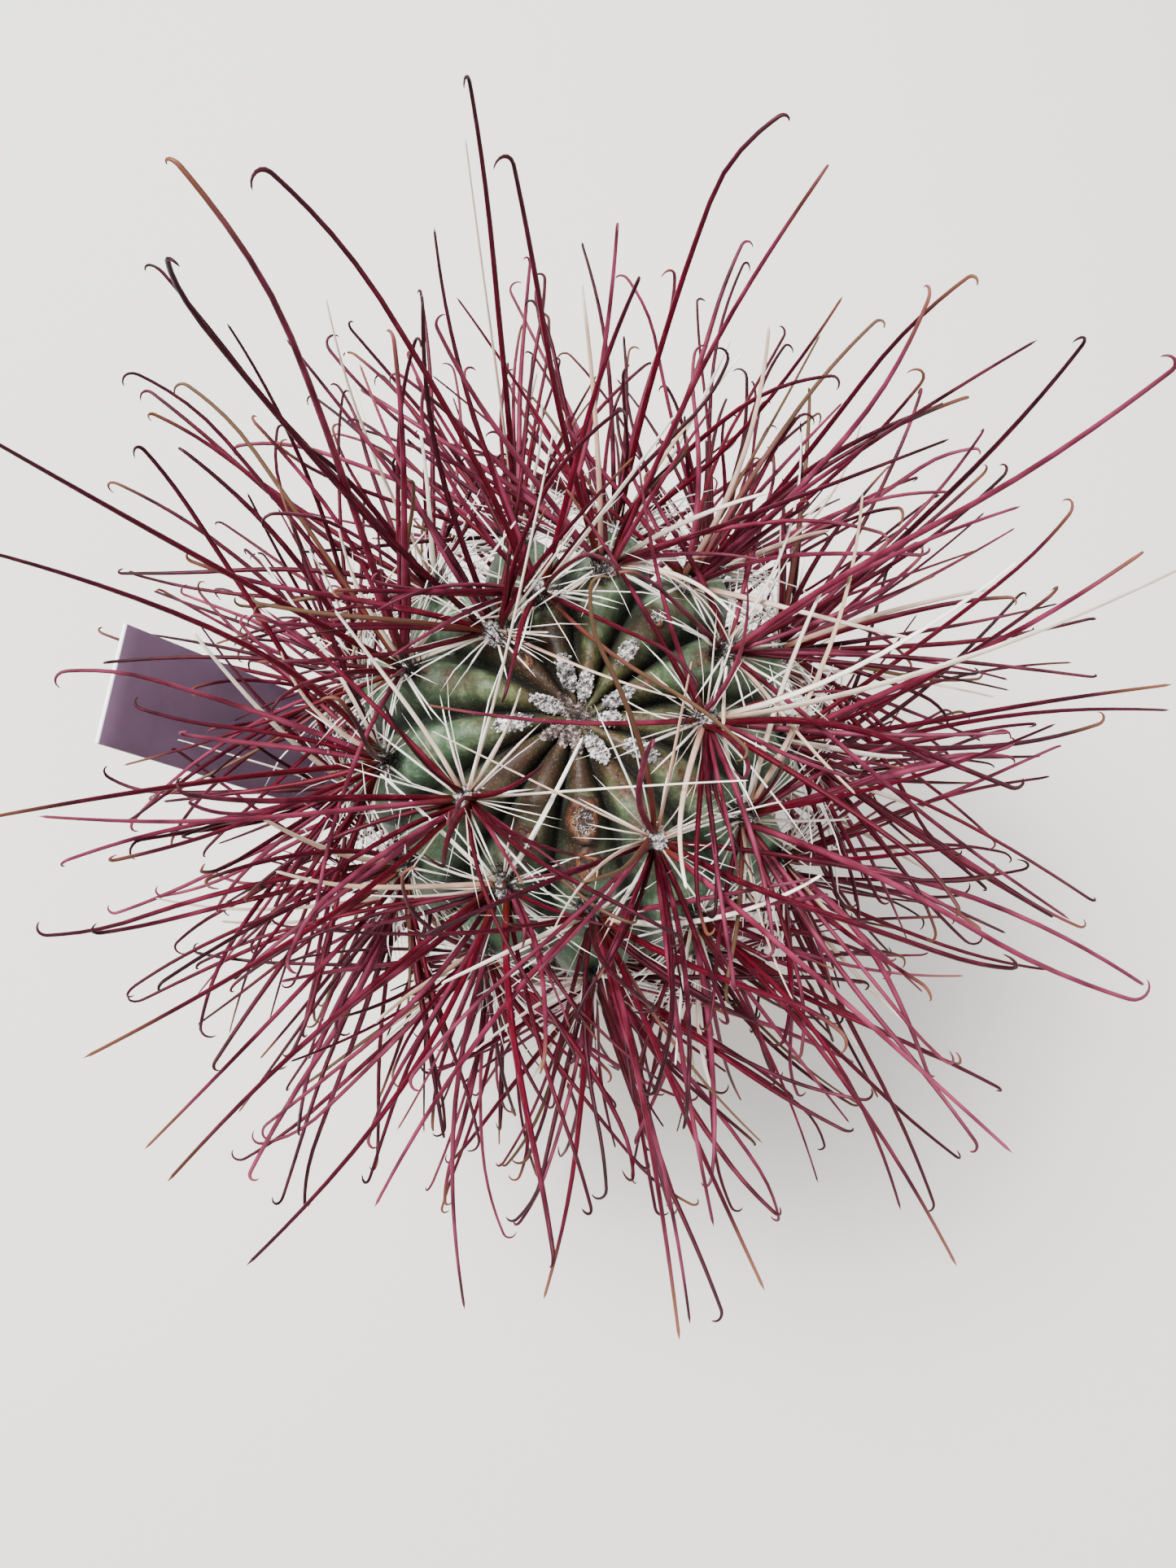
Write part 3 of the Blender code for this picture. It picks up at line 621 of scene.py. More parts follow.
def newSpine(frame, kind, around, draw, shorter=1.0, aim=None):
    made = spineRule["kinds"][kind]
    lean = math.radians(draw.uniform(*made["lean"]))
    length = draw.uniform(*made["long"]) * mm * shorter
    turn = math.radians(around)
    if aim:
        toward = aimedCourse(frame["spot"], *aim)[0] - frame["spot"]
        turn = math.atan2(toward.dot(frame["across"]), toward.dot(frame["up"]))
    way = spineWay(frame, turn, lean)
    rim = padRim(frame, turn) * spineRule["rootSpread"]
    root = frame["spot"] + frame["out"] * spineRule["rootHeight"] + rim
    bend = scatter(draw)
    curl = scatter(draw)
    if aim:
        tip, bow = aimedCourse(root, *aim)
    else:
        tip = root + way * length
        bow = crosswise(bend, way) * (length * draw.uniform(*spineRule["bowShare"]) * made["bow"])
    wide, slim = made["wide"] * mm, made["slim"] * mm
    return {"root": root, "tip": tip, "bow": bow, "curl": curl, "wide": wide, "slim": slim, "kind": kind}


def planSpines():
    draw = random.Random(spineRule["seed"])
    pad = spineRule["pad"]
    areoles = [(rib, row) for row in range(stem["rows"]) for rib in range(stem["ribs"])]
    frames = {}
    for rib, row in areoles:
        frames[rib, row] = crestFrame(rib, stem["firstAreole"][rib] + row * areoleStep(rib))
    plan = {areole: [] for areole in areoles}
    taken = Taken()
    for number, frame in enumerate(frames.values()):
        middle = frame["spot"] + frame["out"] * spineRule["padMiddle"]
        reach = frame["up"] * (pad.y - pad.x)
        taken.add([middle - reach, middle + reach], [pad.x, pad.x], number)
    felt = skinPoint(0, 0)
    taken.add([felt, felt + Vector((0, 0, mm))], [spineRule["felt"]] * 2, -1)

    def place(number, kind, around, tries, aim=None):
        areole = areoles[number]
        stray, more = spineRule["stray"]
        for attempt in range(tries):
            loose = stray + more * attempt / tries
            bearing = around + draw.uniform(-loose, loose)
            shorter = 1 - spineRule["shorten"] * attempt / tries
            course = None
            if aim:
                looser = draw.uniform(0, spineRule["slackStep"]) * attempt
                course = (*aim, spineRule["slack"][areole[1]] + looser)
            spine = newSpine(frames[areole], kind, bearing, draw, shorter, course)
            centres, half = spineCourse(spine)
            if taken.clear(centres, half, number):
                taken.add(centres, half, number)
                plan[areole].append(spine)
                return

    for rib, row, tipPixel, wayPixel, kind in longSpines:
        place(areoles.index((rib, row)), kind, 0, spineRule["tries"], (tipPixel, wayPixel))
    aimed = {areole: len(spines) for areole, spines in plan.items()}
    for index, kind in enumerate(spineRule["order"]):
        for number, areole in enumerate(areoles):
            if index >= aimed[areole]:
                place(number, kind, 180 + spineRule["apart"][areole[1]] * (index - 2), spineRule["tries"])
    for index in range(max(spineRule["radials"])):
        for number, (rib, row) in enumerate(areoles):
            count = spineRule["radials"][row]
            if index < count:
                place(number, "radial", 360 / count * (index + 0.5), spineRule["radialTries"])
    return plan, frames, taken


# More spines than the solid holds, of the same kinds, drawn after them

moreSpines = {
    "seed": 61,
    "crimson": (14, 12, 8, 5),  # more of them at each areole, by row
    "dried": 0.07,  # share of them that have dried out
    "tries": 16,
    "standing": (16, 54),  # lean in degrees of those that stand out
    "spreading": (50, 82),  # and of those that cross the body
    "spreadShare": 0.58,
    "sideShare": 0.6,  # of the spreading ones, go to the sides
    "sides": (90, 270),
    "sideStray": 34,
    "downShare": 0.5,  # of the top row's, keep off the crown
    "downward": (45, 315),
    "long": {"hooked": (28, 56), "central": (22, 48)},
    "thin": (0.68, 1.02),  # share of the full width
    "bow": (0.02, 0.08),  # share of the length
    "lift": 0.6,  # how much they bow outwards
    "hookedShare": 0.65,
    "paleSlack": 1.04,
    "bristles": {  # by row; length and width in mm, lean in degrees
        "bold": {"count": (9, 9, 8, 6), "long": (10, 27), "wide": 0.5, "lean": (58, 84)},
        "fine": {"count": (12, 20, 26, 20), "long": (7, 20), "wide": 0.28, "lean": (62, 88)},
    },
    "bristle": {  # for both kinds
        "tries": 6,
        "shorten": 0.1,  # with each try
        "root": (0.5, 0.85),  # share of the pad's half width
        "height": 0.7 * mm,
        "stray": 12,
        "bow": (0.0, 0.09),  # share of the length
        "thin": (0.6, 1.15),
        "taper": 0.5,
        "gap": 0.2 * mm,
    },
}

# Pale spines that cross the body in the photograph: rib, row, tip pixel, way pixel
paleSpines = (
    (8, 0, (680, 530), (634, 750)),
    (3, 0, (714, 345), (728, 470)),
    (2, 0, (945, 400), (925, 520)),
    (12, 0, (1060, 605), (1035, 740)),
    (1, 0, (984, 530), (967, 660)),
    (11, 0, (530, 898), (655, 960)),
    (9, 0, (467, 951), (530, 1010)),
    (0, 0, (769, 861), (850, 905)),
    (3, 0, (581, 759), (670, 742)),
    (6, 0, (675, 777), (600, 783)),
    (7, 1, (524, 653), (450, 760)),
    (3, 0, (899, 796), (845, 720)),
    (8, 0, (920, 959), (760, 968)),
    (9, 0, (716, 906), (680, 980)),
    (0, 0, (1250, 690), (1090, 800)),
    (7, 0, (345, 800), (395, 880)),
    (11, 0, (850, 812), (832, 905)),
    (12, 0, (893, 818), (890, 900)),
    (6, 0, (634, 640), (590, 700)),
    (5, 0, (832, 858), (720, 822)),
    (8, 0, (640, 845), (620, 900)),
    (11, 0, (960, 985), (880, 1005)),
    (10, 0, (1010, 1075), (880, 1128)),
    (3, 0, (905, 760), (850, 715)),
    (12, 0, (1012, 720), (960, 850)),
    (2, 1, (1058, 520), (1030, 640)),
    (9, 0, (455, 1100), (540, 1100)),
)


def insideBox(point):
    low, high = cadBox
    return all(low[i] - mm < point[i] < high[i] + mm for i in range(3))


def addCrimson(spines, frame, row, number, taken, draw):
    rule = moreSpines
    kind = "hooked" if draw.random() < rule["hookedShare"] else "central"
    spreading = draw.random() < rule["spreadShare"]
    for _ in range(rule["tries"]):
        downward = row == 0 and draw.random() < rule["downShare"]
        around = draw.uniform(*rule["downward"]) if downward else draw.uniform(0, 360)
        if spreading and draw.random() < rule["sideShare"]:
            around = draw.choice(rule["sides"]) + draw.uniform(-rule["sideStray"], rule["sideStray"])
        lean = math.radians(draw.uniform(*rule["spreading" if spreading else "standing"]))
        spine = newSpine(frame, kind, around, draw)
        way = spineWay(frame, math.radians(around), lean)
        length = draw.uniform(*rule["long"][kind]) * mm
        bend = scatter(draw) + frame["out"] * rule["lift"]
        spine["bow"] = crosswise(bend, way) * (length * draw.uniform(*rule["bow"]))
        spine["tip"] = spine["root"] + way * length
        spine["wide"] *= draw.uniform(*rule["thin"])
        spine["slim"] *= draw.uniform(*rule["thin"])
        spine["dried"] = draw.random() < rule["dried"]
        centres, half = spineCourse(spine)
        if insideBox(spine["tip"]) and taken.clear(centres, half, number):
            taken.add(centres, half, number)
            spines.append(spine)
            return


def addBristle(spines, frame, kind, around, draw):
    made = moreSpines["bristles"][kind]
    rule = moreSpines["bristle"]
    for attempt in range(rule["tries"]):
        lean = math.radians(draw.uniform(*made["lean"]))
        turn = math.radians(around + draw.uniform(-rule["stray"], rule["stray"]))
        length = draw.uniform(*made["long"]) * mm * (1 - rule["shorten"] * attempt)
        rim = padRim(frame, turn) * draw.uniform(*rule["root"])
        root = frame["spot"] + frame["out"] * rule["height"] + rim
        bow = frame["out"] * (length * draw.uniform(*rule["bow"]))
        spine = {"root": root, "tip": root + spineWay(frame, turn, lean) * length, "bow": bow, "kind": kind}
        points = np.array([tuple(shaftPoint(spine, t)) for t in (0.25, 0.5, 0.75, 1)])
        if clearOfRest(points, np.full(len(points), rule["gap"])):
            spine["wide"] = made["wide"] * mm * draw.uniform(*rule["thin"])
            spine["slim"] = spine["wide"] * rule["taper"]
            spine["curl"] = scatter(draw)
            spines.append(spine)
            return


def addSpines(plan, frames, taken):
    draw = random.Random(moreSpines["seed"])
    numbers = {areole: number for number, areole in enumerate(frames)}
    for rib, row, tipPixel, wayPixel in paleSpines:
        aim = (tipPixel, wayPixel, moreSpines["paleSlack"])
        spine = newSpine(frames[rib, row], "pale", 0, draw, 1, aim)
        plan[rib, row].append(spine)
        taken.add(*spineCourse(spine), numbers[rib, row])
    for (rib, row), frame in frames.items():
        spines = plan[rib, row]
        for _ in range(moreSpines["crimson"][row]):
            addCrimson(spines, frame, row, numbers[rib, row], taken, draw)
        for kind, made in moreSpines["bristles"].items():
            count = made["count"][row]
            for index in range(count):
                addBristle(spines, frame, kind, 360 * (index + draw.random()) / count, draw)


# Sweeping spines and fibres

sections = {"stout": (6, 0.85), "flat": (6, 0.45), "thin": (4, 0.8), "strand": (3, 1.0)}  # sides and flatness
toneStride = 97  # how far apart in the noise the tones 0 and 1 lie, so that no two spines look alike
weld = 0.0005  # mm


def profileCurve(name, sides, flat):
    # the cross section that a sweep carries along its course, of unit half width
    curve = bpy.data.curves.new(name, "CURVE")
    curve.dimensions = "2D"
    spline = curve.splines.new("POLY")
    spline.points.add(sides - 1)
    spline.use_cyclic_u = True
    for i, point in enumerate(spline.points):
        turn = math.tau * i / sides
        point.co = (math.cos(turn), math.sin(turn) * flat, 0, 1)
    profile = bpy.data.objects.new(name, curve)
    scene.collection.objects.link(profile)
    return profile


def sweep(name, courses, section):
    # one mesh of all the courses. Each runs from a closed root to a closed tip
    profile = profileCurve(section, *sections[section])
    curve = bpy.data.curves.new(name, "CURVE")
    curve.dimensions = "3D"
    curve.bevel_mode = "OBJECT"
    curve.bevel_object = profile
    sides = len(profile.data.splines[0].points)
    around = np.arange(sides) / sides * math.tau
    tones = []
    alongs = []
    grains = []
    for course in courses:
        points = np.array([tuple(p) for p in course["points"]]) / mm
        rings = len(points)
        spline = curve.splines.new("POLY")
        spline.points.add(rings - 1)
        spline.points.foreach_set("co", np.column_stack([points, np.ones(rings)]).ravel())
        spline.points.foreach_set("radius", np.array(course["half"]) / mm)
        spline.points.foreach_set("tilt", np.full(rings, course["tilt"]))
        travelled = np.append(0, np.cumsum(np.linalg.norm(np.diff(points, axis=0), axis=1)))
        tones.append(np.full(rings * sides, course["tone"]))
        alongs.append(np.repeat(travelled / travelled[-1], sides))
        ring = (np.cos(around) + course["tone"] * toneStride, np.sin(around))
        grains.append(np.column_stack([*np.tile(ring, rings), np.repeat(travelled, sides)]))
    holder = bpy.data.objects.new(name, curve)
    scene.collection.objects.link(holder)
    mesh = evaluatedMesh(holder)
    bpy.data.objects.remove(holder)
    bpy.data.objects.remove(profile)
    tones = np.concatenate(tones)
    if len(mesh.vertices) != len(tones):
        raise ValueError(f"{name}: the sweep has {len(mesh.vertices)} points, not {len(tones)}")
    addAttribute(mesh, "tone", tones)
    addAttribute(mesh, "along", np.concatenate(alongs))
    addAttribute(mesh, "grain", np.concatenate(grains), "FLOAT_VECTOR")
    bm = bmesh.new()
    bm.from_mesh(mesh)
    bpy.data.meshes.remove(mesh)
    bmesh.ops.remove_doubles(bm, verts=bm.verts, dist=weld)  # the sweep is in mm up to here
    if bm.calc_volume(signed=True) < 0:
        bmesh.ops.reverse_faces(bm, faces=bm.faces)
    bmesh.ops.scale(bm, vec=(mm, mm, mm), verts=bm.verts)
    return asMesh(bm, name)


spineLook = {
    "seed": 7,
    "shaft": (0, 0.02, 0.08, 0.17, 0.27, 0.37, 0.47, 0.57, 0.66, 0.74, 0.81, 0.87, 0.92, 0.96, 0.985, 1),
    "bristle": (0, 0.03, 0.35, 0.68, 1),  # where its rings are, and a stout shaft's
    "rootSwell": 0.12,
    "swellLong": 0.04,
    "taper": 1.7,
    "straightEnd": 0.85,  # share of the solid's
    "bendFrom": (0.6, 0.82),  # where a hooked shaft starts to bend over
    "preBend": (0.02, 0.065),  # share of the length
    "hookSteps": 7,
    "hookRadius": (0.95, 1.75),  # mm
    "hookOpening": 1.15,  # its radius at first, as a share of that one
    "hookTighter": 0.4,
    "hookTurn": (140, 190),
    "hookWide": 0.62 * mm,  # at the start of the hook
    "sway": 0.008,  # share of the length
    "tone": (0, 0.9),
    "driedTone": (0.95, 1),
}


def thickness(spine, t, end):
    # half the width at a share of the shaft's length, with a slight swelling at the root
    swell = 1 + spineLook["rootSwell"] * math.exp(-t / spineLook["swellLong"])
    return (spine["wide"] + (end - spine["wide"]) * t ** spineLook["taper"]) / 2 * swell


def fineCourse(spine, draw):
    look = spineLook
    length = (spine["tip"] - spine["root"]).length
    ahead, aside = hookWays(spine)
    sway = ahead.cross(aside) * (length * look["sway"] * draw.uniform(-1, 1))
    hooked = spine["kind"] == "hooked"
    end = look["hookWide"] if hooked else spine["slim"] * look["straightEnd"]
    preBend = draw.uniform(*look["preBend"]) * length if hooked else 0.0
    bendFrom = draw.uniform(*look["bendFrom"])
    points = []
    half = []
    for t in look["bristle" if spine["kind"] in ("radial", "bold", "fine") else "shaft"]:
        late = max(0.0, t - bendFrom) / (1 - bendFrom)
        drift = sway * math.sin(math.tau * t) + aside * (preBend * (late**2 - t**2))
        points.append(shaftPoint(spine, t) + drift)
        half.append(thickness(spine, t, end))
    half[0] = 0.0
    if hooked:
        angle = math.atan2(2 * preBend * (1 / (1 - bendFrom) - 1), length)
        radius = draw.uniform(*look["hookRadius"]) * mm
        steps = look["hookSteps"]
        turn = math.radians(draw.uniform(*look["hookTurn"])) - angle
        for i in range(1, steps + 1):
            tighter = radius * (look["hookOpening"] - look["hookTighter"] * i / steps)
            angle += turn / steps
            middle = angle - turn / steps / 2
            stride = 2 * tighter * math.sin(turn / steps / 2)
            points.append(points[-1] + (ahead * math.cos(middle) + aside * math.sin(middle)) * stride)
            half.append(end / 2 * (1 - i / steps) ** 0.5)
    half[-1] = 0.0
    tone = draw.uniform(*look["driedTone" if spine.get("dried") else "tone"])
    return {"points": points, "half": half, "tilt": draw.uniform(0, math.pi), "tone": tone}


# each horn's streak colour is partly the fibres' own streaks and partly a painted highlight
horns = {
    "crimson_horn": {
        "root": "4E1C0C",
        "deep": ((0.0, "200305"), (0.15, "2C000A"), (0.6, "28000C"), (0.88, "1C040B"), (1.0, "180709")),
        "bright": ((0.0, "3E0508"), (0.15, "520012"), (0.6, "4C0016"), (0.9, "360616"), (1.0, "301014")),
        "streakAndHighlight": "8A2C46",
        "bloom": "7E344C",  # some are bleached to this
        "tip": "6A4230",
        "dried": "4C3A28",
        "roughness": 0.5,
    },
    "straw_horn": {
        "root": "7E4E3C",
        "deep": ((0.0, "A08470"), (0.2, "D9CCBA"), (0.7, "F6EFE4"), (1.0, "FFFDF8")),
        "bright": ((0.0, "7E4E40"), (0.2, "A07A66"), (0.7, "B8946F"), (1.0, "94703F")),
        "streakAndHighlight": "FFF9EE",
        "bloom": "A86E5E",
        "tip": "FFF8EC",
        "dried": "8C6A48",
        "roughness": 0.5,
    },
    "ivory_bristle": {
        "root": "A88C7C",
        "deep": ((0.0, "CFC4B8"), (0.3, "F8F4EE"), (1.0, "FFFFFF")),
        "bright": ((0.0, "A88A7A"), (0.3, "DCCCC0"), (1.0, "F6EEE6")),
        "streakAndHighlight": "FFFFFF",
        "bloom": "C89C8E",
        "tip": "FFFFFF",
        "dried": "B08468",
        "roughness": 0.45,
    },
}


def hornMaterial(name):
    # Horny spine grown in fine long fibres: a satin face with pale streaks along it, partly the fibres' own
    # and partly painted highlights
    look = horns[name]
    made, add, shade = newMaterial(name)
    along = add("Attribute", attribute_name="along", out="Fac")
    tone = add("Attribute", attribute_name="tone", out="Fac")
    grain = add("Attribute", attribute_name="grain", out="Vector")
    deep = add("ValToRGB", [along], look["deep"])
    bright = add("ValToRGB", [along], look["bright"])
    colour = add("Mix", {0: tone, 6: deep, 7: bright}, data_type="RGBA")
    # two more random numbers for each spine, out of its tone
    second = add("Math", [add("Math", [tone, 7.3], operation="MULTIPLY")], operation="FRACT")
    third = add("Math", [add("Math", [tone, 13.7], operation="MULTIPLY")], operation="FRACT")
    blotch = add("TexNoise", {"Vector": grain, "Scale": 0.16, "Detail": 2.0})
    bleaching = add("Math", [second, blotch], operation="ADD")
    bleached = add("MapRange", [bleaching, 1.05, 1.65, 0.0, 0.7])
    colour = add("Mix", {0: bleached, 6: colour, 7: look["bloom"]}, data_type="RGBA")
    spread = add("Mapping", {"Vector": grain, "Scale": (1.4, 1.4, 0.22)})  # streaks 4 to 5 mm long
    fibres = add("TexNoise", {"Vector": spread, "Scale": 1.6, "Detail": 4.0, "Roughness": 0.6})
    # pale streaks along the shaft: fibre streaks and painted highlights
    streaksAndHighlights = add("MapRange", [fibres, 0.54, 0.8, 0.0, 0.6])
    colour = add("Mix", {0: streaksAndHighlights, 6: colour, 7: look["streakAndHighlight"]}, data_type="RGBA")
    dim = add("MapRange", [blotch, 0.3, 0.7, 0.72, 1.12])
    colour = add("Mix", {0: 1.0, 6: colour, 7: dim}, data_type="RGBA", blend_type="MULTIPLY")
    parts = (  # each shows where both its ranges say so
        ("root", (along, 0.02, 0.12, 1.0, 0.0), (tone, 0.35, 0.75, 0.15, 0.9)),
        ("tip", (along, 0.84, 0.96, 0.0, 1.0), (third, 0.68, 0.85, 0.0, 0.8)),
        ("dried", (along, 0.1, 0.6, 0.35, 1.0), (tone, 0.92, 0.95, 0.0, 0.85)),
    )
    for part, *ranges in parts:
        share = add("Math", [add("MapRange", span) for span in ranges], operation="MULTIPLY")
        colour = add("Mix", {0: share, 6: colour, 7: look[part]}, data_type="RGBA")
    relief = add("Bump", {"Height": fibres, "Strength": 0.35, "Distance": 0.05 * mm})
    shade({"Base Color": colour, "Roughness": look["roughness"], "Normal": relief})
    shade({"IOR": 1.5, "Specular IOR Level": 0.12})
    return made


def makeSpines(plan):
    draw = random.Random(spineLook["seed"])
    groups = (
        ("crimson_spines", ("hooked", "central"), hornMaterial("crimson_horn"), "stout"),
        ("pale_spines", ("pale",), hornMaterial("straw_horn"), "flat"),
        ("radial_spines", ("radial", "bold", "fine"), hornMaterial("ivory_bristle"), "thin"),
    )
    rows = range(stem["rows"])
    for rib in range(stem["ribs"]):
        nodes = [f"spines_rib_{rib + 1:02d}_row_{row + 1}" for row in rows]
        spines = [spine for row in rows for spine in plan[rib, row]]
        for group, kinds, material, section in groups:
            name = f"{group}_rib_{rib + 1:02d}"
            courses = [fineCourse(spine, draw) for spine in spines if spine["kind"] in kinds]
            addPiece(name, sweep(name, courses, section), material, "spines", *nodes)


# The stem's skin

skin = {
    "columnsPerRib": 24,
    "rings": 190,
    "swell": 0.4 * mm,  # unevenness of the flesh
    "swellScale": 8 * mm,
    "swellFrom": 12,  # polar degrees, as it fades out at the crown
    "cork": 3.6 * mm,  # how far an areole corks the skin round it
    "stain": 4.2 * mm,  # how far a scar browns the skin round it
    "ragged": 2.2 * mm,
    "raggedScale": 2.5 * mm,
    # rib and polar degrees of bare stains
    "stained": ((9, 18), (9, 25), (10, 16), (10, 33), (5, 14), (5, 28), (5, 35), (4, 21), (8, 20)),
    "greens": ((0.3, "1D301D"), (0.5, "48614A"), (0.68, "869E80")),
    "olives": ((0.3, "141808"), (0.5, "353A1B"), (0.7, "66683E")),  # towards the crown
    "rust": ((0.3, "24140C"), (0.7, "5A3A28")),
    "scarBrown": ((0.3, "120A06"), (0.7, "3A1E12")),
    # painted shade: the near black that the furrows are painted
    "furrow": "0B0805",
    "corkBrown": "2C2118",
    "pore": "9DB394",
}


def nearestOf(points, spots):
    return np.min([np.linalg.norm(points - np.array(spot), axis=1) for spot in spots], axis=0)


def makeSkin(frames):
    columns = stem["ribs"] * skin["columnsPerRib"]
    bm = bmesh.new()
    bmesh.ops.create_uvsphere(bm, u_segments=columns, v_segments=skin["rings"], radius=1)
    ball = np.array([tuple(vertex.co) for vertex in bm.verts])
    polar = np.degrees(np.arccos(np.clip(ball[:, 2], -1, 1)))
    azimuth = np.degrees(np.arctan2(ball[:, 1], ball[:, 0])) + ribAzimuth(0, polar)
    way = directions(polar, azimuth)
    points = np.array(stem["centre"]) + way * stemReach(polar, azimuth)[:, None]
    swell = skin["swell"] * np.clip(polar / skin["swellFrom"], 0, 1)
    points += way * (noiseAt(points, skin["swellScale"]) * swell)[:, None]
    for vertex, point in zip(bm.verts, points):
        vertex.co = point
    mesh = asMesh(bm, "cactus_skin")
    areoles = [areole["spot"] for areole in frames.values()]
    areoles += [crestSpot(rib, place) for rib, place in enumerate(stem["youngAreole"])]
    marks = [crestSpot(rib, place) for rib, place, *_ in (*scars["places"], *skin["stained"])]
    ragged = noiseAt(points, skin["raggedScale"]) * skin["ragged"]
    addAttribute(mesh, "furrow", furrowShare(polar, azimuth)[0])
    addAttribute(mesh, "age", polar / 180)
    addAttribute(mesh, "near", np.exp(-((nearestOf(points, areoles) / skin["cork"]) ** 2)))
    addAttribute(mesh, "stain", np.clip(1.5 - (nearestOf(points, marks) + ragged) / skin["stain"], 0, 0.9))
    addPiece("cactus_skin", mesh, skinMaterial(), "skin", "cactus_stem")


def skinMaterial():
    # Waxy cactus epidermis: a bloom of wax greys the green, and old skin near the crown rusts. The furrows
    # are painted near black as painted shade
    made, add, shade = newMaterial("waxy_epidermis")
    place = add("TexCoord", out="Object")
    furrow = add("Attribute", attribute_name="furrow", out="Fac")
    age = add("Attribute", attribute_name="age", out="Fac")
    near = add("Attribute", attribute_name="near", out="Fac")
    stain = add("Attribute", attribute_name="stain", out="Fac")
    mottle = add("TexNoise", {"Vector": place, "Scale": 1 / (6 * mm), "Detail": 7.0, "Roughness": 0.72})
    patch = add("TexNoise", {"Vector": place, "Scale": 1 / (9 * mm), "Detail": 5.0, "Roughness": 0.65})
    grain = add("TexNoise", {"Vector": place, "Scale": 1 / (0.9 * mm), "Detail": 3.0})
    pores = add("TexVoronoi", {"Vector": place, "Scale": 1 / (0.55 * mm)})
    rusty = add("MapRange", [patch, 0.42, 0.56, 0.0, 1.0])
    upper = add("MapRange", [age, 0.2, 0.34, 1.0, 0.12])
    crested = add("MapRange", [furrow, 0.1, 0.6, 0.95, 0.35])
    rust = add("Math", [rusty, upper], operation="MULTIPLY")
    # painted shade: the furrows darken to near black, more so near the crown
    deep = add("MapRange", [furrow, 0.4, 0.92, 0.0, 1.0], interpolation_type="SMOOTHSTEP")
    furrowShadeShare = add("MapRange", [age, 0.12, 0.45, 0.98, 0.7])
    paintedFurrowShade = add("Math", [deep, furrowShadeShare], operation="MULTIPLY")
    layers = (  # a share and the colour that it lays over those before
        (add("MapRange", [age, 0.08, 0.24, 1.0, 0.0]), add("ValToRGB", [mottle], skin["olives"])),
        (add("Math", [rust, crested], operation="MULTIPLY"), add("ValToRGB", [grain], skin["rust"])),
        (stain, add("ValToRGB", [mottle], skin["scarBrown"])),
        (paintedFurrowShade, skin["furrow"]),
        (add("Math", [near, 0.55], operation="MULTIPLY"), skin["corkBrown"]),
        (add("MapRange", [pores, 0.1, 0.24, 0.2, 0.0]), skin["pore"]),
    )
    colour = add("ValToRGB", [mottle], skin["greens"])
    for share, over in layers:
        colour = add("Mix", {0: share, 6: colour, 7: over}, data_type="RGBA")
    sheen = add("MapRange", [mottle, 0.3, 0.7, 0.45, 0.65])
    rough = add("Math", [sheen, paintedFurrowShade], operation="MAXIMUM")
    height = add("Math", [grain, pores], operation="ADD")
    relief = add("Bump", {"Height": height, "Strength": 0.5, "Distance": 0.1 * mm})
    shade({"Base Color": colour, "Roughness": rough, "Normal": relief})
    shade({"IOR": 1.45, "Specular IOR Level": 0.35, "Subsurface Weight": 0.08})
    shade({"Subsurface Radius": (0.6, 1.0, 0.3), "Subsurface Scale": 1.2 * mm})
    return made


# Wool

wool = {
    "seed": 5,
    "pad": Vector((2.1 * mm, 2.9 * mm, 1.3 * mm)),
    "young": Vector((1.2 * mm, 2.7 * mm, 1.0 * mm)),
    "browned": (5, 8, 9, 10),  # ribs whose young wool is short and brown
    "brownSize": 0.72,
    "felt": Vector((3.1 * mm, 3.1 * mm, 0.9 * mm)),
    "vary": (0.85, 1.1),  # limits of a pad's size as a share, then of a young one's and of its width
    "youngVary": (0.9, 1.15),
    "youngWide": (0.8, 1.15),
    "youngOut": 9.0,  # degrees, the nearest that a young one is to the middle
    "fibres": (80, 60, 40, 30),  # at each areole, by row
    "crumbs": (170, 130, 80, 50),
    "youngCounts": (60, 300),  # fibres and crumbs
    "feltCounts": (420, 160),
    "long": (0.4, 1.1),  # mm
    "wide": 0.12,  # mm, coarser than real wool so that it shows
    "thin": (0.7, 1.3),
    "tangle": 0.55,
    "rootShare": (0.75, 1.0),  # how far out in the cushion a fibre starts
    "stand": 0.5,  # how much the fibres lean outwards
    "lumps": ((0.4, 1.9), (0.2, 5)),  # height and fineness of the cushion's unevenness
    "crumbShare": (1.0, 0.12),  # how far out a crumb sits: mean and spread
    "crumb": (0.12, 0.36),  # mm, half across
    "crumbFlat": ((0.6, 1), (0.5, 1)),  # limits of its two smaller sizes, as shares of the largest
    "sunk": 0.8,  # share of its height that the cushion shows
    "chalk": ((0.4, "0E0C0C"), (0.46, "5A5452"), (0.52, "B9B3B1"), (0.64, "FFFFFF")),
    "pile": ((0.34, "160E0C"), (0.5, "4E3F3A"), (0.66, "A0928D")),
    "growingPoint": "050404",
}


def onFrame(frame, upward, aside, out=0.0):
    return frame["spot"] + frame["up"] * upward - frame["across"] * aside + frame["out"] * out


def onCushion(frame, size, way, share):
    place = Vector((way.x * size.y, way.y * size.x, way.z * size.z * wool["sunk"])) * share
    return onFrame(frame, *place)


def outerWay(draw):
    way = scatter(draw).normalized()
    way.z = abs(way.z)
    return way


def grainPlace(spot, half, flat, draw):
    # a grain turned at random, with its two smaller sizes drawn within their limits
    turn = Matrix.Rotation(draw.uniform(0, math.pi), 4, scatter(draw))
    second, third = [half * draw.uniform(*limits) for limits in flat]
    return Matrix.Translation(spot) @ turn @ Matrix.Diagonal((half, second, third, 1))


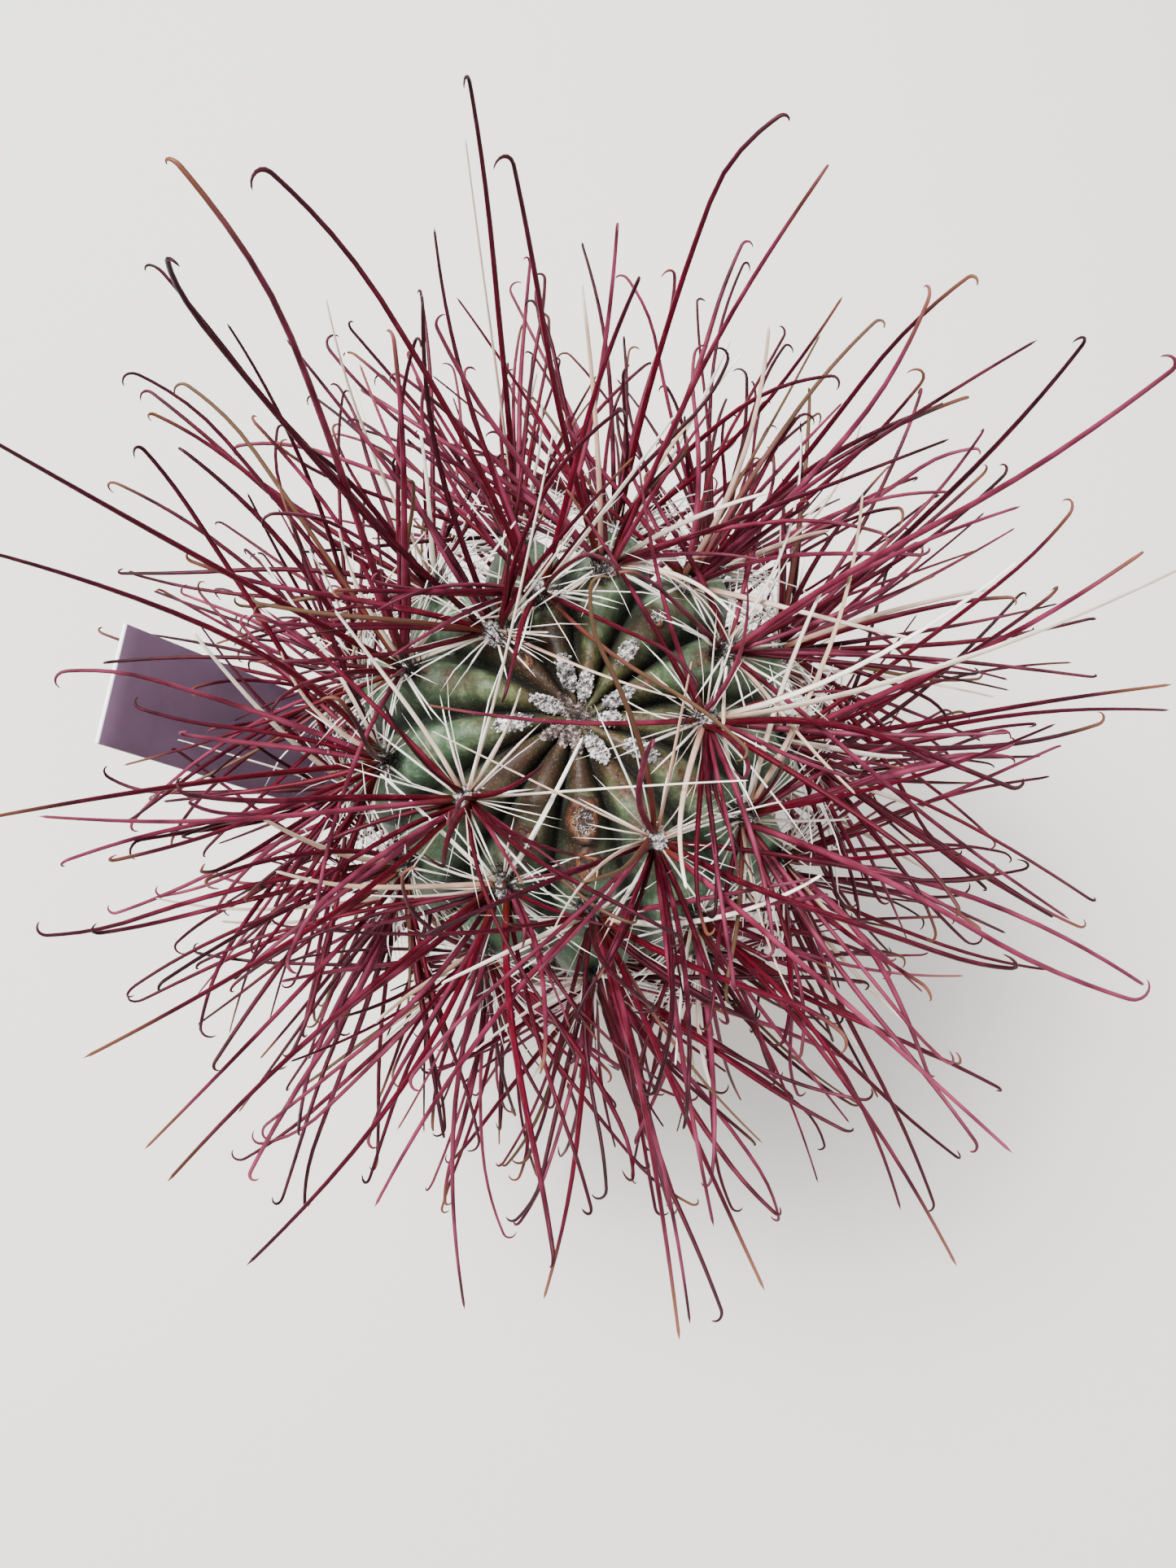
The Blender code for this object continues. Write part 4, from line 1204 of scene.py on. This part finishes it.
def strand(points, wide, later, draw):
    # the course of a fibre of four points, and its width at the third as a share of the full one
    half = [0.0, wide / 2, wide / 2 * later, 0.0]
    return {"points": points, "half": half, "tilt": 0.0, "tone": draw.random()}


def woolFibre(root, way, length, draw):
    points = [root]
    heading = way
    for _ in range(3):
        heading = (heading + scatter(draw, wool["tangle"])).normalized()
        points.append(points[-1] + heading * (length / 3))
    return strand(points, wool["wide"] * mm * draw.uniform(*wool["thin"]), 1 / 1.2, draw)


def addWool(batch, frame, size, counts, draw, detail=2):
    # a crumbly cushion sunk in the skin, the fibres on it, and grains of matted wool
    bm = bmesh.new()
    bmesh.ops.create_icosphere(bm, subdivisions=detail, radius=1)
    shift = shiftNoise(draw)
    for vertex in bm.verts:
        rough = 1 + sum(high * noise.noise(vertex.co * fine + shift) for high, fine in wool["lumps"])
        vertex.co = onCushion(frame, size, vertex.co, rough)
    batch["meshes"].append(asMesh(bm, "cushion"))
    for _ in range(counts[0]):
        way = outerWay(draw)
        root = onCushion(frame, size, way, draw.uniform(*wool["rootShare"]))
        heading = onFrame(frame, way.x, way.y, way.z + wool["stand"]) - frame["spot"]
        batch["fibres"].append(woolFibre(root, heading.normalized(), draw.uniform(*wool["long"]) * mm, draw))
    bm = bmesh.new()
    for _ in range(counts[1]):
        spot = onCushion(frame, size, outerWay(draw), draw.gauss(*wool["crumbShare"]))
        place = grainPlace(spot, draw.uniform(*wool["crumb"]) * mm, wool["crumbFlat"], draw)
        bmesh.ops.create_icosphere(bm, subdivisions=1, radius=1, matrix=place)
    batch["meshes"].append(asMesh(bm, "crumbs"))


def addWoolPiece(name, batch, material, *nodes):
    mesh = joinMeshes(name, [*batch["meshes"], sweep("fibres", batch["fibres"], "strand")])
    addPiece(name, mesh, material, "wool", *nodes)


def makeWool(frames, material):
    draw = random.Random(wool["seed"])
    for row in range(stem["rows"]):
        batch = {"meshes": [], "fibres": []}
        counts = (wool["fibres"][row], wool["crumbs"][row])
        for (rib, level), areole in frames.items():
            if level == row:
                addWool(batch, areole, wool["pad"] * draw.uniform(*wool["vary"]), counts, draw)
        addWoolPiece(f"areole_wool_row_{row + 1}", batch, material)
    young = {"meshes": [], "fibres": []}
    brown = {"meshes": [], "fibres": []}
    for rib, polar in enumerate(stem["youngAreole"]):
        short = rib in wool["browned"]
        place = crestFrame(rib, polar if short else max(polar, wool["youngOut"]))
        size = wool["young"] * (wool["brownSize"] if short else draw.uniform(*wool["youngVary"]))
        size.y *= draw.uniform(*wool["youngWide"])
        addWool(brown if short else young, place, size, wool["youngCounts"], draw)
    nodes = [f"young_areole_rib_{number}" for number in ("03", "08", "13")]
    addWoolPiece("young_areole_wool", young, material, *nodes)
    ways = {"up": Vector((1, 0, 0)), "across": Vector((0, -1, 0)), "out": Vector((0, 0, 1))}
    addWool(brown, {"spot": skinPoint(0, 0), **ways}, wool["felt"], wool["feltCounts"], draw, 3)
    addWoolPiece("crown_felt", brown, feltMaterial(), "crown_wool")


def woolMaterial():
    # Matted plant wool: chalky grey crumbs that scatter the light, with dark specks of dead felt
    made, add, shade = newMaterial("matted_plant_wool")
    place = add("TexCoord", out="Object")
    speck = add("TexNoise", {"Vector": place, "Scale": 1 / (0.9 * mm), "Detail": 4.0, "Roughness": 0.75})
    colour = add("ValToRGB", [speck], wool["chalk"])
    soil = add("TexNoise", {"Vector": place, "Scale": 1 / (3 * mm), "Detail": 3.0})
    soiled = add("MapRange", [soil, 0.34, 0.56, 0.4, 1.0])
    dirty = add("Mix", {0: 1.0, 6: colour, 7: soiled}, data_type="RGBA", blend_type="MULTIPLY")
    relief = add("Bump", {"Height": speck, "Strength": 0.7, "Distance": 0.3 * mm})
    shade({"Base Color": dirty, "Roughness": 0.95, "Normal": relief, "Sheen Weight": 0.3})
    return made


def feltMaterial():
    # The crown's young felt: short brown-grey pile, darker at the growing point
    made, add, shade = newMaterial("crown_felt_pile")
    place = add("TexCoord", out="Object")
    speck = add("TexNoise", {"Vector": place, "Scale": 1 / (0.8 * mm), "Detail": 3.0})
    pile = add("ValToRGB", [speck], wool["pile"])
    flat = add("VectorMath", [place, (1, 1, 0)], operation="MULTIPLY")
    across = add("VectorMath", [flat], operation="LENGTH")
    middle = add("MapRange", [across, 0.3 * mm, 1.0 * mm, 0.95, 0.0])
    colour = add("Mix", {0: middle, 6: pile, 7: wool["growingPoint"]}, data_type="RGBA")
    shade({"Base Color": colour, "Roughness": 0.95})
    return made


# Dried tufts and scars of old flowers

tufts = {
    "seed": 11,
    "always": ((6, 0), (7, 0), (8, 1), (10, 0), (9, 0), (9, 1), (11, 1), (12, 1)),  # rib and row
    "share": 0.5,  # of the other areoles
    "above": 3.4 * mm,  # how far up the rib from the areole
    "aside": 0.6,  # mm
    "count": 44,
    "long": (1.8, 6.5),  # mm
    "wide": 0.4,
    "thin": (0.5, 1.1),
    "bend": 0.16,
    "crumbs": 110,
    "crumbLong": (0.5, 1.3),  # mm
    "char": ((0.0, "060505"), (0.7, "141110"), (1.0, "3A3532")),
}


def makeTufts(frames):
    draw = random.Random(tufts["seed"])
    bristles = []
    crumbs = []
    for areole, place in frames.items():
        chosen = draw.random() < tufts["share"]
        if areole not in tufts["always"] and not chosen:
            continue
        up, across, out = place["up"], place["across"], place["out"]
        middle = place["spot"] + up * tufts["above"] + across * (draw.uniform(-1, 1) * tufts["aside"] * mm)
        for _ in range(tufts["count"]):
            way = (out * 0.9 + up * draw.gauss(0.2, 0.5) + across * draw.gauss(0, 0.5)).normalized()
            length = draw.uniform(*tufts["long"]) * mm
            spread = up * draw.gauss(0, 0.7) + across * draw.gauss(0, 0.6) - out * 0.2
            root = middle + spread * mm
            bend = scatter(draw, tufts["bend"]) * length
            steps = ((0, 0), (0.35, 0), (0.7, 0.5), (1, 1))  # shares of the length and of the bend
            points = [root + way * (length * along) + bend * bent for along, bent in steps]
            bristles.append(strand(points, tufts["wide"] * mm * draw.uniform(*tufts["thin"]), 2 / 3, draw))
        for _ in range(tufts["crumbs"]):
            way = (out + scatter(draw, 0.9)).normalized()
            spread = up * draw.gauss(0, 0.9) + across * draw.gauss(0, 0.8)
            crumbs.append(woolFibre(middle + spread * mm, way, draw.uniform(*tufts["crumbLong"]) * mm, draw))
    made, add, shade = newMaterial("charred_dry_bristle")  # brittle remains of flowers, almost black
    tone = add("Attribute", attribute_name="tone", out="Fac")
    shade({"Base Color": add("ValToRGB", [tone], tufts["char"]), "Roughness": 0.8})
    addPiece("dried_tufts", sweep("dried_tufts", bristles + crumbs, "strand"), made, "wool")


scars = {
    "places": (  # rib, polar degrees, half length up the rib and half width in mm, woolly or not
        (10, 27, 3.7, 2.9, True),
        (10, 38, 2.6, 2.1, False),
        (9, 34, 2.0, 1.7, False),
        (5, 20, 1.7, 1.2, False),
        (2, 33, 1.9, 1.4, True),
    ),
    # radius and height of its round form, in shares of the half width and in mm
    "profile": ((0.0, 0.12), (0.35, 0.1), (0.62, 0.2), (0.78, 0.62), (0.9, 0.72), (1.02, 0.45), (1.15, -0.6)),
    "heightShare": 0.75,
    "uneven": (0.4, 1.3),  # how much its round form wobbles, and how finely
    "lumpy": (0.3, 4),  # the same of its height, in mm
    "weld": 0.0001,
    "steps": 40,
    "seed": 3,
    "fibres": 110,
    "hollow": 0.62,  # share of the half width that its wool fills
    "fibreLong": (0.6, 1.3),  # mm
    "rings": (
        (0.0, "0E0705"),
        (0.28, "3E2213"),
        (0.46, "0E0705"),
        (0.6, "8A5E32"),
        (0.7, "1E0E07"),
        (0.82, "5E3218"),
        (1.0, "2A140A"),
    ),
}


def makeScars(woolly):
    draw = random.Random(scars["seed"])
    meshes = []
    rims = []
    fibres = []
    for rib, polar, long, wide, hasWool in scars["places"]:
        place = crestFrame(rib, polar)
        bm = turned(scars["profile"], scars["steps"], scars["weld"])
        if sum(face.normal.z for face in bm.faces) < 0:
            bmesh.ops.reverse_faces(bm, faces=bm.faces)
        shift = shiftNoise(draw)
        (uneven, unevenFine), (lump, lumpFine) = scars["uneven"], scars["lumpy"]
        for vertex in bm.verts:
            x, y, z = vertex.co
            rims.append(math.hypot(x, y))
            rough = (1 + uneven * noise.noise(vertex.co * unevenFine + shift)) * mm
            height = z * scars["heightShare"] + lump * noise.noise(vertex.co * lumpFine + shift)
            spot = onFrame(place, x * long * rough, y * wide * rough)
            outward = (spot - stem["centre"]).normalized()
            vertex.co = spot + outward * (height * mm - aboveSkin(np.array([tuple(spot)]))[0])
        meshes.append(asMesh(bm, "scar"))
        for _ in range(scars["fibres"] if hasWool else 0):
            turn = draw.uniform(0, math.tau)
            reach = scars["hollow"] * math.sqrt(draw.uniform(0.08, 1)) * mm
            root = onFrame(place, math.cos(turn) * reach * long, -math.sin(turn) * reach * wide, 0.1 * mm)
            way = (place["out"] * 0.35 + scatter(draw, 0.6)).normalized()
            fibres.append(woolFibre(root, way, draw.uniform(*scars["fibreLong"]) * mm, draw))
    mesh = joinMeshes("flower_scars", meshes)
    addAttribute(mesh, "rim", rims)
    made, add, shade = newMaterial("corky_scar")  # healed cork: ochre rim, dark pitted middle
    rim = add("Attribute", attribute_name="rim", out="Fac")
    place = add("TexCoord", out="Object")
    wobble = add("TexNoise", {"Vector": place, "Scale": 1 / (1.5 * mm), "Detail": 5.0})
    spread = add("MapRange", [wobble, 0.25, 0.75, -0.42, 0.42])
    colour = add("ValToRGB", [add("Math", [rim, spread], operation="ADD")], scars["rings"])
    relief = add("Bump", {"Height": wobble, "Strength": 0.8, "Distance": 0.25 * mm})
    shade({"Base Color": colour, "Roughness": 0.75, "Normal": relief})
    addPiece("flower_scars", mesh, made, "skin")
    addPiece("scar_wool", sweep("scar_wool", fibres, "strand"), woolly, "wool")


# Pot, grit and label


def roundEdges(bm, angle, radius, steps):
    sharp = [edge for edge in bm.edges if edge.calc_face_angle(0) > math.radians(angle)]
    bmesh.ops.bevel(bm, geom=sharp, offset=radius, affect="EDGES", segments=steps, profile=0.5, material=-1)


def makePot():
    height, rim, base = pot["height"], pot["rim"], pot["base"]
    inside = rim - pot["lip"]
    profile = (
        (0, pot["floor"]),
        (base - pot["wall"], pot["floor"]),
        (inside - 0.5 * mm, height - 0.8 * mm),
        (inside, height),
        (rim - 0.6 * mm, height),
        (rim, height - 0.7 * mm),
        (rim - 0.4 * mm, height - pot["band"]),
        (rim - 2.2 * mm, height - pot["band"] - 0.8 * mm),
        (base + 0.4 * mm, 0.9 * mm),
        (base - 0.5 * mm, 0),
        (0, 0),
    )
    bm = turned(profile, pot["steps"], 0.001 * mm)
    roundEdges(bm, 22, 0.3 * mm, 3)
    body = bpy.data.objects.new("pot_body", asMesh(bm, "pot_body"))
    bm = bmesh.new()
    wide = pot["holeRadius"]
    for hole in range(pot["holes"]):
        turn = Matrix.Rotation(math.tau * hole / pot["holes"], 4, "Z")
        place = turn @ Matrix.Translation((pot["holeCircle"], 0, 0))
        bmesh.ops.create_cone(
            bm, cap_ends=True, segments=32, radius1=wide, radius2=wide, depth=8 * pot["floor"], matrix=place
        )
    cutter = bpy.data.objects.new("drain_holes", asMesh(bm, "drain_holes"))
    for piece in (body, cutter):
        scene.collection.objects.link(piece)
    drain = body.modifiers.new("drain", "BOOLEAN")
    drain.object = cutter
    drain.operation = "DIFFERENCE"
    mesh = evaluatedMesh(body)
    for piece in (body, cutter):
        bpy.data.objects.remove(piece)
    addPiece("nursery_pot", mesh, potMaterial(), "pot", "pot", sharp=35)


def potMaterial():
    # Moulded polypropylene: faint flow marks, scuffs, and chalk left by hard water below the rim
    made, add, shade = newMaterial("moulded_polypropylene")
    place = add("TexCoord", out="Object")
    level = add("SeparateXYZ", [place], out="Z")
    stretch = add("Mapping", {"Vector": place, "Scale": (1, 1, 6)})
    flow = add("TexNoise", {"Vector": stretch, "Scale": 1 / (30 * mm), "Detail": 4.0})
    grain = add("TexNoise", {"Vector": place, "Scale": 1 / (0.6 * mm), "Detail": 2.0})
    cloud = add("TexNoise", {"Vector": place, "Scale": 1 / (9 * mm), "Detail": 6.0, "Roughness": 0.7})
    high = add("MapRange", [level, 50 * mm, 78 * mm, 0.0, 0.5])
    chalk = add("MapRange", [cloud, 0.5, 0.75, 0.0, 1.0])
    chalkShare = add("Math", [chalk, high], operation="MULTIPLY")
    plastic = add("ValToRGB", [flow], pot["plastic"])
    colour = add("Mix", {0: chalkShare, 6: plastic, 7: pot["chalk"]}, data_type="RGBA")
    rough = add("MapRange", [cloud, 0.3, 0.7, 0.42, 0.62])
    relief = add("Bump", {"Height": grain, "Strength": 0.25, "Distance": 0.04 * mm})
    shade({"Base Color": colour, "Roughness": rough, "Normal": relief, "IOR": 1.49})
    return made


grit = {
    "seed": 17,
    "level": 73.5 * mm,
    "count": 1500,
    "size": (0.5, 1.7),  # mm, half across
    "flat": ((0.7, 1), (0.55, 0.9)),  # limits of a grain's two smaller sizes, as shares of the largest
    "inner": 22 * mm,
    "offWall": 0.5 * mm,
    "offSkin": 0.1 * mm,
    "sunk": (-0.2, 0.5),  # how high its middle is, as a share of its half size
    "chipped": (0.78, 1.12),
    "stones": (
        (0.0, "2F241C"),
        (0.3, "5A4636"),
        (0.5, "8B7660"),
        (0.7, "A79C8D"),
        (0.85, "6E4430"),
        (1.0, "D5CCBE"),
    ),
}


def makeGrit():
    draw = random.Random(grit["seed"])
    lean = (pot["rim"] - pot["lip"] - pot["base"] + pot["wall"]) / (pot["height"] - pot["floor"])
    outer = pot["base"] - pot["wall"] + (grit["level"] - pot["floor"]) * lean - grit["offWall"]
    meshes = []
    tones = []
    for _ in range(grit["count"]):
        half = draw.uniform(*grit["size"]) * mm
        across = math.sqrt(draw.uniform(grit["inner"] ** 2, (outer - half) ** 2))
        turn = draw.uniform(0, math.tau)
        level = grit["level"] + half * draw.uniform(*grit["sunk"])
        spot = (across * math.cos(turn), across * math.sin(turn), level)
        place = grainPlace(spot, half, grit["flat"], draw)
        bm = bmesh.new()
        bmesh.ops.create_icosphere(bm, subdivisions=1, radius=1)
        for vertex in bm.verts:
            vertex.co *= draw.uniform(*grit["chipped"])
        bmesh.ops.transform(bm, matrix=place, verts=bm.verts)
        if (aboveSkin(np.array([tuple(vertex.co) for vertex in bm.verts])) < grit["offSkin"]).any():
            bm.free()
            continue
        tones += [draw.random()] * len(bm.verts)
        meshes.append(asMesh(bm, "grain"))
    mesh = joinMeshes("loose_grit", meshes)
    addAttribute(mesh, "tone", tones)
    addPiece("loose_grit", mesh, gritMaterial("crushed_pumice_grit", True), "soil", sharp=30)
    bed = frame["nodes"]["gritty_soil"].data
    bed.materials.clear()
    bed.materials.append(gritMaterial("damp_potting_mix", False))


def gritMaterial(name, loose):
    # Crushed stone and pumice in a dark mix: each grain its own buff, grey, rust or white
    made, add, shade = newMaterial(name)
    place = add("TexCoord", out="Object")
    if loose:
        source = add("Attribute", attribute_name="tone", out="Fac")
    else:
        cells = add("TexVoronoi", {"Vector": place, "Scale": 1 / (1.6 * mm)}, out="Color")
        source = add("SeparateColor", [cells])
    colour = add("ValToRGB", [source], grit["stones"])
    pits = add("TexNoise", {"Vector": place, "Scale": 1 / (0.5 * mm), "Detail": 4.0, "Roughness": 0.7})
    dim = add("MapRange", [pits, 0.3, 0.7, 0.6, 1.15])
    shaded = add("Mix", {0: 1.0, 6: colour, 7: dim}, data_type="RGBA", blend_type="MULTIPLY")
    relief = add("Bump", {"Height": pits, "Strength": 0.7, "Distance": 0.25 * mm})
    shade({"Base Color": shaded, "Roughness": 0.92, "Normal": relief})
    return made


def makeLabel():
    slope, straight, bent = label["slope"], label["straightRows"], label["bentRows"]
    inward, across = labelWays(slope)
    spots = [label["end"] + inward * (label["above"] * i / straight) for i in range(straight + 1)]
    for i in range(bent):
        lean = slope + label["bend"] * (i + 0.5) / bent
        spots.append(spots[-1] + labelWays(lean)[0] * (label["below"] / bent))
    rows = straight + bent
    bm = bmesh.new()
    bmesh.ops.create_grid(bm, x_segments=8, y_segments=rows, size=1)
    ends = bm.verts.layers.float.new("end")
    for vertex in bm.verts:
        row = round((1 - vertex.co.y) / 2 * rows)
        narrow = label["point"] if row == rows else 1
        vertex[ends] = row / rows
        vertex.co = spots[row] + across * (label["width"] / 2 * vertex.co.x * narrow)
    bmesh.ops.recalc_face_normals(bm, faces=bm.faces)
    thick = label["thickness"]
    bm.faces.ensure_lookup_table()
    bmesh.ops.translate(bm, vec=bm.faces[0].normal * (thick / 2), verts=bm.verts)
    bmesh.ops.solidify(bm, geom=bm.faces[:], thickness=thick)
    roundEdges(bm, 60, 0.12 * mm, 2)
    made, add, shade = newMaterial("pvc_label_painted_light")  # thin PVC sheet, painted the dark lilac grey of its shaded face as painted shade, with a painted highlight along its cut outer end
    place = add("TexCoord", out="Object")
    end = add("Attribute", attribute_name="end", out="Fac")
    haze = add("TexNoise", {"Vector": place, "Scale": 1 / (16 * mm), "Detail": 4.0})
    dirt = add("TexNoise", {"Vector": place, "Scale": 1 / (2.5 * mm), "Detail": 6.0, "Roughness": 0.75})
    # painted shade: the sheet's dark lilac grey
    colour = add("ValToRGB", [haze], label["paintedShadeSheet"])
    dirty = add("MapRange", [dirt, 0.62, 0.8, 0.0, 0.35])
    colour = add("Mix", {0: dirty, 6: colour, 7: label["dust"]}, data_type="RGBA")
    # painted highlight along the outer end
    pale = add("MapRange", [end, 0.001, 0.004, 1.0, 0.0])
    colour = add("Mix", {0: pale, 6: colour, 7: label["paintedEdgeHighlight"]}, data_type="RGBA")
    rough = add("MapRange", [dirt, 0.3, 0.7, 0.3, 0.5])
    shade({"Base Color": colour, "Roughness": rough, "IOR": 1.53})
    addPiece("label_strip", asMesh(bm, "label_strip"), made, "label", "plant_label", sharp=35)


# Floor and light

studio = {
    "floor": "D2CFCA",
    "sky": "EEF1F5",
    "skyStrength": 0.72,
    "lights": (  # place and size in metres, watts, colour
        ((-0.35, 0.2, 0.95), 0.32, 33.0, "FFFFFF"),
        ((0.6, -0.5, 0.7), 0.8, 9.0, "FFF8F0"),
        ((0.1, 0.9, 0.6), 1.0, 7.0, "F2F6FF"),
    ),
}


def makeStudio():
    bm = bmesh.new()
    bmesh.ops.create_grid(bm, x_segments=1, y_segments=1, size=20)
    mesh = asMesh(bm, "floor")
    made, _, shade = newMaterial("matt_paper_sweep")  # plain paper, no shine
    shade({"Base Color": studio["floor"], "Roughness": 0.9})
    mesh.materials.append(made)
    floor = bpy.data.objects.new("floor", mesh)
    scene.collection.objects.link(floor)
    world = bpy.data.worlds.new("sky")
    world.use_nodes = True
    sky = world.node_tree.nodes["Background"]
    sky.inputs["Color"].default_value = linearColour(studio["sky"])
    sky.inputs["Strength"].default_value = studio["skyStrength"]
    scene.world = world
    for number, (place, size, watts, colour) in enumerate(studio["lights"]):
        lamp = bpy.data.lights.new(f"softbox_{number + 1}", "AREA")
        lamp.size = size
        lamp.energy = watts
        lamp.color = linearColour(colour)[:3]
        holder = bpy.data.objects.new(lamp.name, lamp)
        holder.location = place
        holder.rotation_euler = (stem["centre"] - Vector(place)).to_track_quat("-Z", "Y").to_euler()
        scene.collection.objects.link(holder)


addCamera()
makeStudio()
plan, frames, taken = planSpines()
print("planned", sum(len(spines) for spines in plan.values()), "spines as in the solid")
addSpines(plan, frames, taken)
print("with more spines and bristles:", sum(len(spines) for spines in plan.values()))
makeSkin(frames)
print("skin done")
makeSpines(plan)
print("spines done")
plantWool = woolMaterial()
makeWool(frames, plantWool)
print("wool done")
makeTufts(frames)
makeScars(plantWool)
print("tufts and scars done")
makePot()
makeGrit()
makeLabel()
print("pot, grit and label done")
total = 0
for piece in scene.objects:
    if piece.type == "MESH" and not piece.hide_render and piece.get("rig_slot"):
        count = sum(len(face.vertices) - 2 for face in piece.data.polygons)
        total += count
        if count > 40000:
            print(piece.name, count, "triangles")
print("all the pieces:", total, "triangles")
